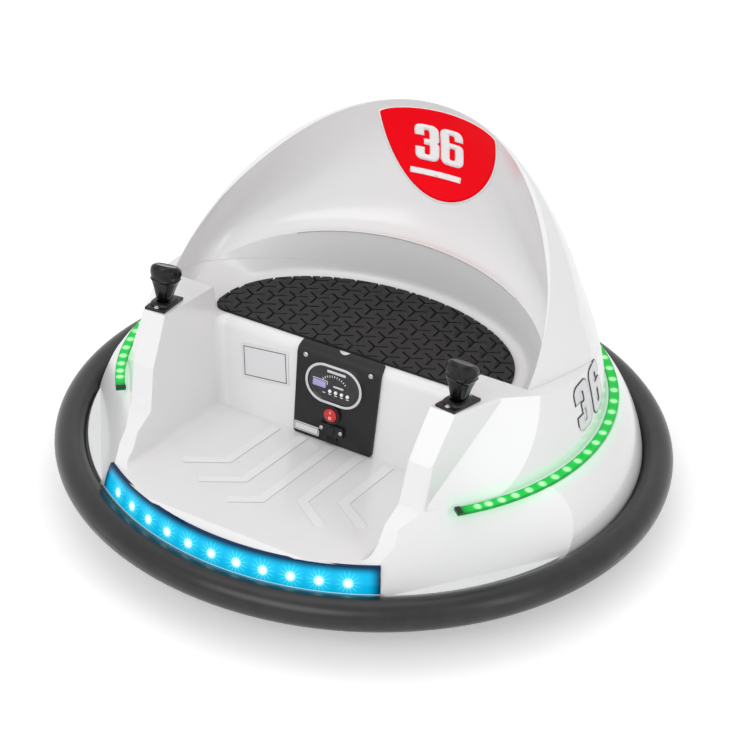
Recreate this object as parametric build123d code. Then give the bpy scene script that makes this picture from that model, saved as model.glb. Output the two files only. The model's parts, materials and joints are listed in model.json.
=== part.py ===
from build123d import *
import os
from math import cos, degrees, hypot, radians, sin, sqrt, tan

# A child's ride-on bumper car, round in plan, driven by two sticks.
# Millimetres, +Z up, origin on the floor under the middle of the bumper ring.
# The front is -Y, and "left" is the driver's left, +X.
# An inset (_IN) is measured inwards from the body's rim; a name ending in _DEG is an angle.

os.makedirs("parts", exist_ok=True)

SIDES = (("left", 1), ("right", -1))
BIG = 900.0                 # reach of the cutting blocks, past everything
OVER = 1.0                  # how far a cutter or a joining solid overlaps

# ---- driving dimensions: ring, walls and gaps ----
RING_OUTER_R = 360.0        # the bumper ring's outermost radius
RING_TUBE_R = 18.0
RING_Z = 59.5               # height of the ring's middle
TONGUE_H = 7.0              # the ring's inner tongue, held between body and pan
TONGUE_IN = 18.0            # how far the tongue reaches in under the body
WALL = 4.0                  # moulded wall of the body
RIM_GAP = 0.5               # body rim to bumper ring
PAN_RIM_GAP = 1.0           # pan rim to bumper ring, more than the body's
SEAM_GAP = 0.3              # faces that meet
RUN = 0.05                  # radial play of a wheel on its axle

# ---- skirt, shelf and dome ----
WAIST_Z = 68.0              # the skirt starts to round in above this height
BULGE_IN, BULGE_Z = 10.0, 99.0
SHELF_IN, SHELF_Z = 33.5, 135.0
DOME_FOOT_IN, SHELF_RISE = 48.5, 2.5
DOME = (                    # points of the dome: inset, height
    (61.5, 190.0),
    (87.5, 257.0),
    (133.5, 351.0),
    (189.5, 421.0),         # the backrest's highest edge
)
CROWN_Z = 466.0
WALL_DROP = 0.4             # share of the wall that the dome's inner face sits lower

# ---- armrests ----
DECK_FRONT_Z = 239.5        # height of the armrests' front edge
DECK_SLOPE_DEG = 7.5        # the armrests fall to the rear, and so does the backrest's seam
DECK_REAR_Y = -63.0         # where the armrests end and the seat's recess starts
REST_TOP_IN = (136.5, 136.5)       # front top corner: inset from the side, from the front
REST_FOOT_IN = (139.5, 115.5)      # front foot corner
SHOULDER_FOOT_IN = (82.0, 190.0)   # the flat facet's foot, between armrest and dome
SHOULDER_TOP = (80.5, -66.0, 221.0)  # its top: inset from the side, y, height
NOSE_SLOPE_DEG = 22.8       # the corner in front of an armrest falls to the front
NOSE_STEP_Y = -234.5        # then steps down
NOSE_STEP_DEG = 58.6
NOSE_LEDGE = ((156.0, -241.0, 111.5), (184.2, -246.4, 110.5), (170.3, -263.2, 99.0))
REST_STEP = 3.0             # the armrests' rear top corners are this far inside the arch's rim
REST_EDGE_R = 3.5           # the armrests' outer edges

# ---- seat and footwell ----
SEAT_Z = 185.5
SEAT_FRONT_Y = -60.0        # where the seat and its front wall would meet in a sharp edge
SEAT_LEAN_DEG = 5.0         # the wall leans back
SEAT_EDGE_R = 12.5
SEAT_MID_Y = -20.5          # the recess is straight in front of this, half an ellipse behind
SEAT_SIDE_IN, SEAT_REAR_IN = 127.5, 205.5
SEAT_FOOT_R = 10.0          # fillet around the recess's floor
CREASE_MID_Y, CREASE_MID_Z = -29.7, 202.0
CREASE_TILT_DEG = 20.3      # the crease around the inside rises to the rear
CREASE_SIDE_IN, CREASE_REAR_IN = 103.8, 213.5
BOWL = (                    # the backrest's inside above it: height, side inset, rear inset
    (306.0, 119.5, 177.5),
    (350.0, 139.5, 173.5),
    (390.0, 156.5, 179.5),
    (430.0, 175.5, 194.5),
)
FOOT_REAR_Z = 73.7          # footwell floor at the seat's wall
FOOT_SLOPE_DEG = 6.5
FOOT_SIDE_IN = 170.5        # the floor's half width is constant
FOOT_TOP_Z = 240.0          # and at this height the sides are further apart:
FOOT_TOP_FRONT_IN = 162.5   # here at the armrests' front
FOOT_TOP_REAR_IN = 150.5    # and here at the seat
FOOT_OPEN_Z = 300.0         # top of the cutter
FOOT_R = 10.0

# ---- backrest ----
ARCH_SIDE_IN = 96.5         # rim: half an ellipse in a plane leaning back
ARCH_FOOT_Y = -65.0
ARCH_LEAN_DEG = 45.0
ARCH_TAPER_DEG = 18.0       # the rim's facet spreads to the rear

# ---- underside ----
PAN_BOTTOM = 34.0
PAN_WALL = 4.0
PAN_FLAT_IN = 35.5
PAN_HOLE_R = 2.5
PAN_HOLE_SPACING = (150.0, 250.0)
WHEEL_R = 62.0
WHEEL_W = 38.0
WHEEL_IN = 101.5            # middle of the drive wheels
WHEEL_GAP = 6.0             # wheel to the sides of its slot
TYRE_DEPTH, TYRE_EDGE_R = 12.0, 5.0
HUB_FIT = 0.1               # hub to tyre
HUB_RIM, HUB_DISH = 6.0, 6.0
AXLE_R = 5.0
AXLE_IN = 20.0              # length of axle inside the gearbox
AXLE_OUT = 3.0              # and past the bracket
BOSS_R, BRACKET_BOSS_R = 12.0, 10.0
END_PLAY = 1.0              # wheel to the bosses beside it
GEARBOX_L, GEARBOX_HALF_Y, GEARBOX_TOP = 56.0, 42.0, 98.0
GEARBOX_GAP = 9.0           # gearbox to wheel
GEARBOX_EDGE_R = 10.0
MOTOR_R, MOTOR_L, MOTOR_LIFT = 18.0, 48.0, 6.0
BRACKET_GAP = 10.0          # bracket to wheel
BRACKET_T, BRACKET_HALF_Y, BRACKET_OVER = 5.0, 18.0, 16.0
BRACKET_FOOT, BRACKET_FOOT_T = 24.0, 4.0
BATTERY_SIZE, BATTERY_Y = (151.0, 94.0, 65.0), 55.0

# ---- casters ----
CASTER_IN = 98.5            # the swivels' axes, front and rear
CASTER_R, CASTER_W, CASTER_EDGE_R = 24.0, 18.0, 3.0
CASTER_RIM, CASTER_DISH, CASTER_BOSS = 6.0, 3.0, 4.0
CASTER_TRAIL = 20.0
CASTER_TOP = 66.0
CASTER_GAP = 6.0
CASTER_PLATE, CASTER_PLATE_T = 44.0, 3.0
CUP_R, CUP_H = 13.0, 5.0
KINGPIN_R = 4.0
CROWN_L, CROWN_T = 26.0, 4.5
LEG_T, LEG_GAP, LEG_ROUND = 3.0, 1.5, 7.0
PIN_R, PIN_HEAD, PIN_HEAD_T = 3.0, 2.0, 2.0
SWIVEL_GAP = 0.3

# ---- driving sticks, on the armrests ----
STICK_IN, STICK_Y = 140.5, -142.0
STICK_SPLAY_DEG = 9.0       # the stick plates toe out to the rear
PLATE_W, PLATE_L, PLATE_T = 24.0, 47.0, 3.0
COLLAR_H, COLLAR_RIM = 1.5, 2.5    # raised lip around the stick's slot
SLOT_W, SLOT_L = 11.0, 20.0
STICK_R = 4.5
STICK_FOOT = 3.0            # stick below its pivot
PIVOT_DEPTH = 9.0           # stick's pivot under the armrest's top
PIVOT_R = 2.5
HOUSING_W, HOUSING_L, HOUSING_D = 19.0, 34.0, 21.0
HOUSING_WALL = 3.5
HOUSING_GAP = 0.5
KNOB_FOOT = 8.5             # knob's foot and height above the armrest
KNOB_H = 38.0
KNOB = (                    # share of the height, radius across, radius along
    (0.00, 8.2, 8.2),
    (0.10, 9.0, 8.8),
    (0.62, 16.6, 13.6),
    (0.74, 18.3, 15.4),
    (0.88, 18.0, 15.0),
    (0.97, 15.0, 12.4),
    (1.00, 12.0, 10.0),
)

# ---- lights ----
LENS_HALF_DEG = 32.5        # front lens, each side of the front
LENS_Z = (68.5, 98.0)
LENS_T = 3.0
STRIP_START_DEG, STRIP_END_DEG = -41.6, 70.0  # light strips, from the side towards the rear
STRIP_IN, STRIP_W = 35.0, 11.0    # outer edge and width
STRIP_T = 3.0
PROUD = 0.6                 # how far the lights stand out of the body

# ---- mat, panel and plates ----
PAD_SIDE_GAP, PAD_REAR_GAP = 12.4, 11.5   # mat to the recess's wall
PAD_FRONT_Y = -48.8
PAD_CORNER_R = 17.0
PAD_T = 3.9
PANEL_X = -2.6              # middle of the panel
PANEL_LOW_Z, PANEL_HIGH_Z = 75.0, 182.0
PANEL_LOW_W, PANEL_HIGH_W, PANEL_TOP_W = 103.0, 108.0, 104.0
PANEL_T, PANEL_CORNER_R = 3.4, 4.0
PANEL_LAP_Y = -52.5         # the panel reaches over the seat's edge to here
NOTCH_X, NOTCH_R, NOTCH_DEPTH = -1.0, 8.0, 4.5   # finger notch in the panel's rear edge
PLAYER_AT, PLAYER_SIZE, PLAYER_T = (-4.9, 150.2), (73.0, 49.0), 4.0
PLAYER_RIM = 3.0
SWITCH_AT, SWITCH_R, SWITCH_T = (-5.6, 112.5), 11.5, 3.0
SWITCH_RIM, SWITCH_PROUD = 3.2, 1.5
SOCKET_AT, SOCKET_SIZE, SOCKET_T = (-3.5, 93.0), (32.0, 13.5), 3.5
SOCKET_FLAP, SOCKET_CORNER_R = (15.0, 22.0), 3.0
LABEL_AT, LABEL_SIZE, LABEL_T = (-99.0, 144.0), (63.0, 43.0), 1.0
LABEL_TURN_DEG, LABEL_CORNER_R = 6.5, 2.0
TAG_AT, TAG_SIZE, TAG_CORNER_R = (-36.6, 84.0), (33.0, 10.5), 1.0

# ---- worked out from them ----
RING_R = RING_OUTER_R - RING_TUBE_R
BODY_R = RING_R - RING_TUBE_R - RIM_GAP
TONGUE_TOP = RING_Z + TONGUE_H / 2
TONGUE_BOTTOM = RING_Z - TONGUE_H / 2
TONGUE_R = BODY_R - TONGUE_IN
SHELF_TOP = SHELF_Z + SHELF_RISE
DECK_TAN = tan(radians(DECK_SLOPE_DEG))
DECK_FRONT_Y = REST_TOP_IN[1] - BODY_R
LEAN = radians(SEAT_LEAN_DEG)
PAN_FLAT_R = BODY_R - PAN_FLAT_IN
WHEEL_X = BODY_R - WHEEL_IN
CASTER_Y = BODY_R - CASTER_IN
STICK_X = BODY_R - STICK_IN
STRIP_OUTER_R = BODY_R - STRIP_IN
SEAT_HALF_W = BODY_R - SEAT_SIDE_IN
SEAT_REACH = BODY_R - SEAT_REAR_IN - SEAT_MID_Y
FOOT_HALF_W = BODY_R - FOOT_SIDE_IN
FOOT_REAR_Y = SEAT_FRONT_Y - (SEAT_Z - FOOT_REAR_Z) * tan(LEAN)


def deck_z(y):
    """Height of the armrests' top, and of the backrest's seam, at y."""
    return DECK_FRONT_Z - (y - DECK_FRONT_Y) * DECK_TAN


# corners of the left armrest and its shoulder: x, y, height
REST_TOP_FRONT = (BODY_R - REST_TOP_IN[0], DECK_FRONT_Y, DECK_FRONT_Z)
REST_TOP_REAR = (BODY_R - ARCH_SIDE_IN - REST_STEP, ARCH_FOOT_Y, deck_z(ARCH_FOOT_Y))
REST_FOOT = (BODY_R - REST_FOOT_IN[0], REST_FOOT_IN[1] - BODY_R, SHELF_TOP)
SHOULDER_FOOT = (BODY_R - SHOULDER_FOOT_IN[0], SHOULDER_FOOT_IN[1] - BODY_R, SHELF_TOP)
SHOULDER_HIGH = (BODY_R - SHOULDER_TOP[0], SHOULDER_TOP[1], SHOULDER_TOP[2])


def half_space(point, normal, keep=0.0):
    """Everything behind a plane, which is moved back along its normal by keep."""
    n = Vector(*normal).normalized()
    origin = Vector(*point) - n * keep
    plane = Plane(origin=origin, z_dir=n)
    return plane * Pos(0, 0, -BIG / 2) * Box(BIG * 2, BIG * 2, BIG)


def tilted(angle_deg):
    """Unit normal that leans to the front by an angle from straight up."""
    return (0, -sin(radians(angle_deg)), cos(radians(angle_deg)))


def flipped(normal):
    return tuple(-part for part in normal)


def plane_normal(a, b, c, outward):
    """Unit normal of the plane through three points, on the side of outward."""
    a, b, c = Vector(*a), Vector(*b), Vector(*c)
    n = (b - a).cross(c - a).normalized()
    return n if n.dot(Vector(*outward)) > 0 else n * -1


def face_of(points):
    """A flat face with straight sides."""
    with BuildSketch() as section:
        with BuildLine():
            Polyline(*points, close=True)
        make_face()
    return section.sketch


def across_rod(radius, length):
    """A cylinder along X, about the origin."""
    return Rot(0, 90, 0) * Cylinder(radius, length)


def mirrored(solid, side):
    """The solid for the left, or its mirror image for the right."""
    return solid if side > 0 else mirror(solid, Plane.YZ)


def barrel(inset, base_z):
    """The body's round volume, from base_z to the crown, set in by inset."""
    drop = inset * WALL_DROP
    waist = (BODY_R - inset, WAIST_Z)
    bulge = (BODY_R - BULGE_IN - inset, BULGE_Z - drop)
    shelf_out = (BODY_R - SHELF_IN - inset, SHELF_Z - inset)
    shelf_in = (BODY_R - DOME_FOOT_IN - inset, SHELF_TOP - inset)
    side, shoulder, upper, rim = [(BODY_R - dome_in - inset, z - drop) for dome_in, z in DOME]
    with BuildSketch(Plane.XZ) as section:
        with BuildLine():
            Line((0, base_z), (BODY_R - inset, base_z))
            Line((BODY_R - inset, base_z), waist)
            ThreePointArc(waist, bulge, shelf_out)
            Line(shelf_out, shelf_in)
            ThreePointArc(shelf_in, side, shoulder)
            ThreePointArc(shoulder, upper, rim)
            Line(rim, (0, CROWN_Z - inset))
            Line((0, CROWN_Z - inset), (0, base_z))
        make_face()
    return revolve(section.sketch, Axis.Z)


def deck_cut(inset):
    """Half space under the armrests' top and the backrest's seam."""
    return half_space((0, DECK_FRONT_Y, DECK_FRONT_Z), tilted(-DECK_SLOPE_DEG), inset)


def rest_front_normal():
    """Outward normal of the armrests' front faces."""
    middle = (0, REST_FOOT[1], REST_FOOT[2])
    return plane_normal(REST_TOP_FRONT, REST_FOOT, middle, (0, -1, 0))


def armrest(side, inset):
    """One armrest as the space inside its flat faces."""
    side_n = plane_normal(REST_TOP_FRONT, REST_FOOT, REST_TOP_REAR, (1, 0, 0))
    block = half_space((FOOT_HALF_W - FOOT_R, 0, 0), (-1, 0, 0))
    block &= half_space(REST_FOOT, rest_front_normal(), inset)
    block &= half_space(REST_FOOT, side_n, inset)
    block &= deck_cut(inset)
    block &= half_space((0, SEAT_MID_Y, 0), (0, 1, 0))
    block &= half_space((0, 0, WAIST_Z), (0, 0, -1))
    if inset == 0:
        middles = [(edge, edge.center()) for edge in block.edges()]
        shown = [edge for edge, at in middles if at.X > FOOT_HALF_W - FOOT_R + OVER
                 and at.Y < SEAT_MID_Y - OVER and at.Z > WAIST_Z + OVER]
        block = fillet(shown, REST_EDGE_R)
    return mirrored(block, side)


def shoulder_cut(side, inset):
    """Half space inside the flat facet between armrest and shoulder."""
    n = plane_normal(REST_FOOT, SHOULDER_FOOT, SHOULDER_HIGH, (1, 0, 0))
    return mirrored(half_space(REST_FOOT, n, inset), side)


def nose_cut(inset):
    """What is taken off in front of the armrests: a slope, a step and a ledge.

    None of it goes deeper than the footwell's floor, which runs out to the front lens.
    """
    slope = tilted(NOSE_SLOPE_DEG)
    above = half_space(REST_FOOT, flipped(slope), -inset)
    above &= half_space(REST_FOOT, flipped(rest_front_normal()), -inset)
    step_z = REST_FOOT[2] + (NOSE_STEP_Y - REST_FOOT[1]) * tan(radians(NOSE_SLOPE_DEG))
    before = half_space((0, NOSE_STEP_Y, step_z), flipped(tilted(NOSE_STEP_DEG)), -inset)
    before &= half_space((0, FOOT_REAR_Y, FOOT_REAR_Z), flipped(tilted(-FOOT_SLOPE_DEG)), -inset)
    for side in (1, -1):
        ledge = [(side * x, y, z) for x, y, z in NOSE_LEDGE]
        down = plane_normal(*ledge, (0, 0, -1))
        corner = before & half_space(ledge[0], down, -inset)
        above += corner & half_space((0, 0, 0), (-side, 0, 0))
    return above


def wall_profile(grow, drop=0.0):
    """Seat's front wall and its rounded top edge, as y and height from foot to seat."""
    turn = radians(90.0) - LEAN
    centre_y = SEAT_FRONT_Y + SEAT_EDGE_R * tan(turn / 2)
    centre_z = SEAT_Z - SEAT_EDGE_R
    radius = SEAT_EDGE_R - grow
    start, middle, end = [(centre_y - radius * sin(part), centre_z + radius * cos(part))
                          for part in (turn, turn / 2, 0.0)]
    slope = tan(radians(FOOT_SLOPE_DEG))
    floor_z = FOOT_REAR_Z - drop / cos(radians(FOOT_SLOPE_DEG))
    down = start[1] - floor_z - (FOOT_REAR_Y - start[0]) * slope
    down /= cos(LEAN) + sin(LEAN) * slope
    foot = (start[0] - down * sin(LEAN), start[1] - down * cos(LEAN))
    return foot, start, middle, end


def foot_section(y, grow):
    """The footwell across the car at y, from its floor to past the armrests."""
    floor_z = FOOT_REAR_Z + (FOOT_REAR_Y - y) * tan(radians(FOOT_SLOPE_DEG))
    share = (y - REST_FOOT[1]) / (SEAT_FRONT_Y - REST_FOOT[1])
    top_in = FOOT_TOP_FRONT_IN + share * (FOOT_TOP_REAR_IN - FOOT_TOP_FRONT_IN)
    lean = (FOOT_SIDE_IN - top_in) / (FOOT_TOP_Z - floor_z)
    low_z = floor_z - WALL * 2
    low_w = FOOT_HALF_W + grow - lean * (floor_z - low_z)
    high_w = FOOT_HALF_W + grow + lean * (FOOT_OPEN_Z - floor_z)
    outline = face_of([(-low_w, low_z), (low_w, low_z), (high_w, FOOT_OPEN_Z),
                       (-high_w, FOOT_OPEN_Z)])
    return Plane(origin=(0, y, 0), x_dir=(1, 0, 0), z_dir=(0, -1, 0)) * outline


def footwell(grow):
    """The space for the legs: floor, two sides and the seat's wall."""
    foot, start, middle, end = wall_profile(grow, grow)
    front_y = -BODY_R - WALL
    front_z = foot[1] + (foot[0] - front_y) * tan(radians(FOOT_SLOPE_DEG))
    with BuildSketch(Plane.YZ) as section:
        with BuildLine():
            Polyline((end[0], FOOT_OPEN_Z), (front_y, FOOT_OPEN_Z), (front_y, front_z), foot, start)
            ThreePointArc(start, middle, end)
            Line(end, (end[0], FOOT_OPEN_Z))
        make_face()
    space = extrude(section.sketch, BIG / 2, both=True)
    space &= loft([foot_section(y, grow) for y in (front_y - OVER, SEAT_MID_Y)], ruled=True)
    soft = [edge for edge in space.edges()
            if abs(edge.center().X) > FOOT_HALF_W / 2 and edge.center().Y > front_y + OVER
            and edge.center().Z < start[1] and edge.length > 2 * SEAT_EDGE_R]
    return fillet(soft, FOOT_R + grow)


def d_section(half_w, reach, front):
    """A D in plan: straight sides in front, half an ellipse behind."""
    with BuildSketch() as section:
        with BuildLine():
            EllipticalCenterArc((0, 0), half_w, reach, start_angle=0, arc_size=180)
            Polyline((-half_w, 0), (-half_w, -front), (half_w, -front), (half_w, 0))
        make_face()
    return section.sketch


def crease_section(grow, front_y):
    """The tilted outline of the crease around the inside."""
    lean = cos(radians(CREASE_TILT_DEG))
    plane = Plane(origin=(0, CREASE_MID_Y, CREASE_MID_Z), x_dir=(1, 0, 0),
                  z_dir=tilted(CREASE_TILT_DEG))
    reach = BODY_R - CREASE_REAR_IN - CREASE_MID_Y + grow
    return plane * d_section(BODY_R - CREASE_SIDE_IN + grow, reach / lean,
                             (CREASE_MID_Y - front_y) / lean)


def seat_recess(grow, front_y):
    """The recess from the seat's floor up to the crease, open to the top and the front."""
    floor = Pos(0, SEAT_MID_Y, SEAT_Z - grow) * d_section(
        SEAT_HALF_W + grow, SEAT_REACH + grow, SEAT_MID_Y - front_y)
    space = loft([floor, crease_section(grow, front_y)], ruled=True)
    rim = [edge for edge in space.edges() if edge.center().Z < SEAT_Z - grow + OVER / 2
           and edge.center().Y > front_y + OVER]
    return fillet(rim, SEAT_FOOT_R + grow)


def bowl(grow, front_y):
    """The backrest's inside above the crease, also sunk by grow where it is nearly level."""
    sections = [crease_section(grow, front_y)]
    for z, side_in, rear_in in BOWL:
        sections.append(Pos(0, 0, z) * d_section(
            BODY_R - side_in + grow, BODY_R - rear_in + grow, -front_y))
    return Pos(0, 0, -grow) * loft(sections)


def body_volume(inset, base_z):
    """The lower body before it is hollowed, set in by inset."""
    shell = barrel(inset, base_z) & deck_cut(inset)
    for _, side in SIDES:
        shell &= shoulder_cut(side, inset)
    for _, side in SIDES:
        shell += armrest(side, inset)
    shell -= nose_cut(inset)
    shell -= footwell(inset)
    recess_front = DECK_REAR_Y - inset
    shell -= seat_recess(inset, recess_front)
    return shell - bowl(inset, recess_front)


def wedge(start_deg, end_deg, z_low, z_high):
    """A sector of a disc between two angles from +X and two heights."""
    corners = [(0, 0)]
    for part in range(5):
        turn = radians(start_deg + (end_deg - start_deg) * part / 4)
        corners.append((BIG * cos(turn), BIG * sin(turn)))
    return Pos(0, 0, z_low) * extrude(face_of(corners), z_high - z_low)


def ring_of(r_in, r_out, z_low, z_high):
    """A flat ring."""
    tall = z_high - z_low
    disc = Pos(0, 0, z_low + tall / 2) * Cylinder(r_out, tall)
    return disc - Pos(0, 0, z_low + tall / 2) * Cylinder(r_in, tall + 2 * OVER)


def lens_band(proud, depth, slack):
    """The front lens, or its recess with slack all round."""
    side = 90.0 - LENS_HALF_DEG - degrees(slack / BODY_R)
    band = barrel(-proud, TONGUE_TOP) - barrel(depth, TONGUE_TOP - OVER)
    return band & wedge(-180.0 + side, -side, LENS_Z[0] - slack, LENS_Z[1] + slack)


def front_lens():
    """The blue light across the front."""
    return lens_band(PROUD, LENS_T - PROUD, 0.0)


def strip_band(side, top, depth, slack):
    """One light strip on the shelf, or its recess with slack all round."""
    turn = degrees(slack / STRIP_OUTER_R)
    low, high = SHELF_TOP - depth, SHELF_TOP + top
    band = ring_of(STRIP_OUTER_R - STRIP_W - slack, STRIP_OUTER_R + slack, low, high)
    band &= wedge(STRIP_START_DEG - turn, STRIP_END_DEG + turn, low - OVER, high + OVER)
    return mirrored(band, side)


def stick_plane():
    """The left stick's own plane: x across the armrest, y along it, z out of it."""
    splay = radians(STICK_SPLAY_DEG)
    normal = Vector(*tilted(-DECK_SLOPE_DEG))
    across = Vector(cos(splay), -sin(splay), 0)
    across = (across - normal * normal.dot(across)).normalized()
    return Plane(origin=(STICK_X, STICK_Y, deck_z(STICK_Y)), x_dir=across, z_dir=normal)


STICK_PLANE = stick_plane()


def lower_body():
    """The white body moulding: skirt, shelf, armrests, footwell and seat."""
    shell = body_volume(0, TONGUE_TOP) - body_volume(WALL, TONGUE_TOP - OVER)
    shell += ring_of(TONGUE_R, BODY_R - WALL / 2, TONGUE_TOP, TONGUE_TOP + WALL)
    shell -= lens_band(2 * WALL, LENS_T - PROUD, SEAM_GAP)
    hole_d = HOUSING_D + HOUSING_GAP
    for _, side in SIDES:
        shell -= strip_band(side, WALL, STRIP_T - PROUD, SEAM_GAP)
        hole = STICK_PLANE * Pos(0, 0, (WALL - hole_d) / 2) * Box(
            HOUSING_W + 2 * HOUSING_GAP, HOUSING_L + 2 * HOUSING_GAP, WALL + hole_d)
        shell -= mirrored(hole, side)
    return shell


def arch_volume(inset):
    """The space behind the rim's half ellipse, spreading to the rear."""
    foot_z = deck_z(ARCH_FOOT_Y)
    long_r = hypot(BODY_R - DOME[3][0] - ARCH_FOOT_Y, DOME[3][1] - foot_z)
    half_w = BODY_R - ARCH_SIDE_IN
    lean = Vector(*tilted(ARCH_LEAN_DEG))
    ends = []
    for depth in (inset, 2 * BODY_R):
        origin = Vector(0, ARCH_FOOT_Y, foot_z) - lean * depth
        more = depth * tan(radians(ARCH_TAPER_DEG)) - inset
        ends.append(Plane(origin=origin, x_dir=(1, 0, 0), z_dir=lean)
                    * Ellipse(half_w + more, long_r + more))
    return loft(ends, ruled=True)


def hood_volume(inset):
    """The backrest before it is hollowed, set in by inset and left open below."""
    seam = half_space((0, ARCH_FOOT_Y, deck_z(ARCH_FOOT_Y)),
                      flipped(tilted(-DECK_SLOPE_DEG)), -inset)
    volume = barrel(inset, TONGUE_TOP) & seam
    volume &= arch_volume(inset)
    open_y = ARCH_FOOT_Y - 2 * WALL
    return volume - seat_recess(inset, open_y) - bowl(inset, open_y)


def backrest_hood():
    """The white arched backrest."""
    return hood_volume(0) - hood_volume(WALL)


def bumper_ring():
    tube = Pos(0, 0, RING_Z) * Torus(RING_R, RING_TUBE_R)
    tongue = ring_of(TONGUE_R, RING_R, TONGUE_BOTTOM, TONGUE_TOP)
    return tube + tongue


def wheel_slot():
    """The opening in the pan for the left drive wheel."""
    half = sqrt(WHEEL_R ** 2 - (WHEEL_R - PAN_BOTTOM - PAN_WALL) ** 2) + WHEEL_GAP
    tall = PAN_WALL * 4
    return Pos(WHEEL_X, 0, PAN_BOTTOM) * Box(WHEEL_W + 2 * WHEEL_GAP, 2 * half, tall)


def base_pan():
    """The underside tray, with two wheel slots, two caster pockets and four screw holes."""
    rim_low = TONGUE_BOTTOM - PAN_WALL
    rim_r = BODY_R - PAN_RIM_GAP
    with BuildSketch(Plane.XZ) as section:
        with BuildLine():
            Polyline((0, PAN_BOTTOM), (PAN_FLAT_R, PAN_BOTTOM),
                     (TONGUE_R + PAN_WALL, rim_low), (rim_r, rim_low),
                     (rim_r, TONGUE_BOTTOM), (TONGUE_R, TONGUE_BOTTOM),
                     (PAN_FLAT_R - PAN_WALL / 2, PAN_BOTTOM + PAN_WALL),
                     (0, PAN_BOTTOM + PAN_WALL), close=True)
        make_face()
    pan = revolve(section.sketch, Axis.Z)
    tall = CASTER_TOP + PAN_WALL - PAN_BOTTOM
    pocket_r = hypot(CASTER_TRAIL + CASTER_R, CASTER_W / 2) + CASTER_GAP
    for y in (-CASTER_Y, CASTER_Y):
        pan += Pos(0, y, PAN_BOTTOM + tall / 2) * Cylinder(pocket_r + PAN_WALL, tall)
        pan -= Pos(0, y, CASTER_TOP - tall / 2) * Cylinder(pocket_r, tall)
    for _, side in SIDES:
        pan -= mirrored(wheel_slot(), side)
    for x in (-PAN_HOLE_SPACING[0] / 2, PAN_HOLE_SPACING[0] / 2):
        for y in (-PAN_HOLE_SPACING[1] / 2, PAN_HOLE_SPACING[1] / 2):
            pan -= Pos(x, y, PAN_BOTTOM) * Cylinder(PAN_HOLE_R, PAN_WALL * 4)
    return pan


def seat_pad():
    """The thin mat on the seat."""
    outline = Pos(0, SEAT_MID_Y) * d_section(
        SEAT_HALF_W - PAD_SIDE_GAP, SEAT_REACH - PAD_REAR_GAP, SEAT_MID_Y - PAD_FRONT_Y)
    corners = [v for v in outline.vertices() if v.Y < PAD_FRONT_Y + OVER]
    return Pos(0, 0, SEAT_Z) * extrude(fillet(corners, PAD_CORNER_R), PAD_T)


def on_wall(at, base, thick, sketch):
    """A flat piece on the seat's leaning wall: at = x and height, base = its back's distance."""
    out = Vector(0, -cos(LEAN), sin(LEAN))
    foot = Vector(at[0], SEAT_FRONT_Y - (SEAT_Z - at[1]) * tan(LEAN), at[1])
    plane = Plane(origin=foot + out * base, x_dir=(1, 0, 0), z_dir=out)
    return plane * extrude(sketch, thick)


def control_panel():
    """The black panel on the seat's wall, bent over its rounded top edge."""
    foot, start, middle, end = wall_profile(0.0)
    out_foot, out_start, out_middle, out_end = wall_profile(-PANEL_T)
    with BuildSketch(Plane.YZ) as section:
        with BuildLine():
            Line(foot, start)
            ThreePointArc(start, middle, end)
            Line(end, out_end)
            ThreePointArc(out_end, out_middle, out_start)
            Polyline(out_start, out_foot, foot)
        make_face()
    sheet = Pos(PANEL_X, 0, 0) * extrude(section.sketch, PANEL_HIGH_W, both=True)
    sheet &= half_space((0, PANEL_LAP_Y, 0), (0, 1, 0))
    low, high, top = PANEL_LOW_W / 2, PANEL_HIGH_W / 2, PANEL_TOP_W / 2
    outline = face_of([(-low, PANEL_LOW_Z), (low, PANEL_LOW_Z), (high, PANEL_HIGH_Z),
                       (top, SEAT_Z + WALL), (-top, SEAT_Z + WALL), (-high, PANEL_HIGH_Z)])
    corners = [v for v in outline.vertices() if v.Y < PANEL_LOW_Z + OVER]
    front = Plane(origin=(PANEL_X, 0, 0), x_dir=(1, 0, 0), z_dir=(0, -1, 0))
    sheet &= front * extrude(fillet(corners, PANEL_CORNER_R), BIG / 2)
    notch_y = PANEL_LAP_Y + NOTCH_R - NOTCH_DEPTH
    return sheet - Pos(NOTCH_X, notch_y, SEAT_Z) * Cylinder(NOTCH_R, SEAT_EDGE_R)


def player_bezel():
    long, tall = PLAYER_SIZE
    face = SlotOverall(long, tall) - SlotOverall(long - 2 * PLAYER_RIM, tall - 2 * PLAYER_RIM)
    return on_wall(PLAYER_AT, PANEL_T, PLAYER_T, face)


def player_face():
    slack = PLAYER_RIM + SEAM_GAP
    long, tall = PLAYER_SIZE
    face = SlotOverall(long - 2 * slack, tall - 2 * slack)
    return on_wall(PLAYER_AT, PANEL_T, PLAYER_T / 2, face)


def rocker_bezel():
    face = Circle(SWITCH_R) - Circle(SWITCH_R - SWITCH_RIM)
    return on_wall(SWITCH_AT, PANEL_T, SWITCH_T, face)


def rocker_switch():
    face = Circle(SWITCH_R - SWITCH_RIM - SEAM_GAP)
    return on_wall(SWITCH_AT, PANEL_T, SWITCH_T + SWITCH_PROUD, face)


def socket_cover():
    """The charging socket's cover, with a flap hanging from it."""
    long, tall = SOCKET_SIZE
    wide, drop = SOCKET_FLAP
    face = RectangleRounded(long, tall, SOCKET_CORNER_R)
    face += Pos(0, (tall - drop) / 2) * RectangleRounded(wide, drop, SOCKET_CORNER_R)
    return on_wall(SOCKET_AT, PANEL_T, SOCKET_T, face)


def label_plate():
    face = Rot(0, 0, LABEL_TURN_DEG) * RectangleRounded(*LABEL_SIZE, LABEL_CORNER_R)
    return on_wall(LABEL_AT, 0, LABEL_T, face)


def tag_plate():
    return on_wall(TAG_AT, PANEL_T, LABEL_T, RectangleRounded(*TAG_SIZE, TAG_CORNER_R))


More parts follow.
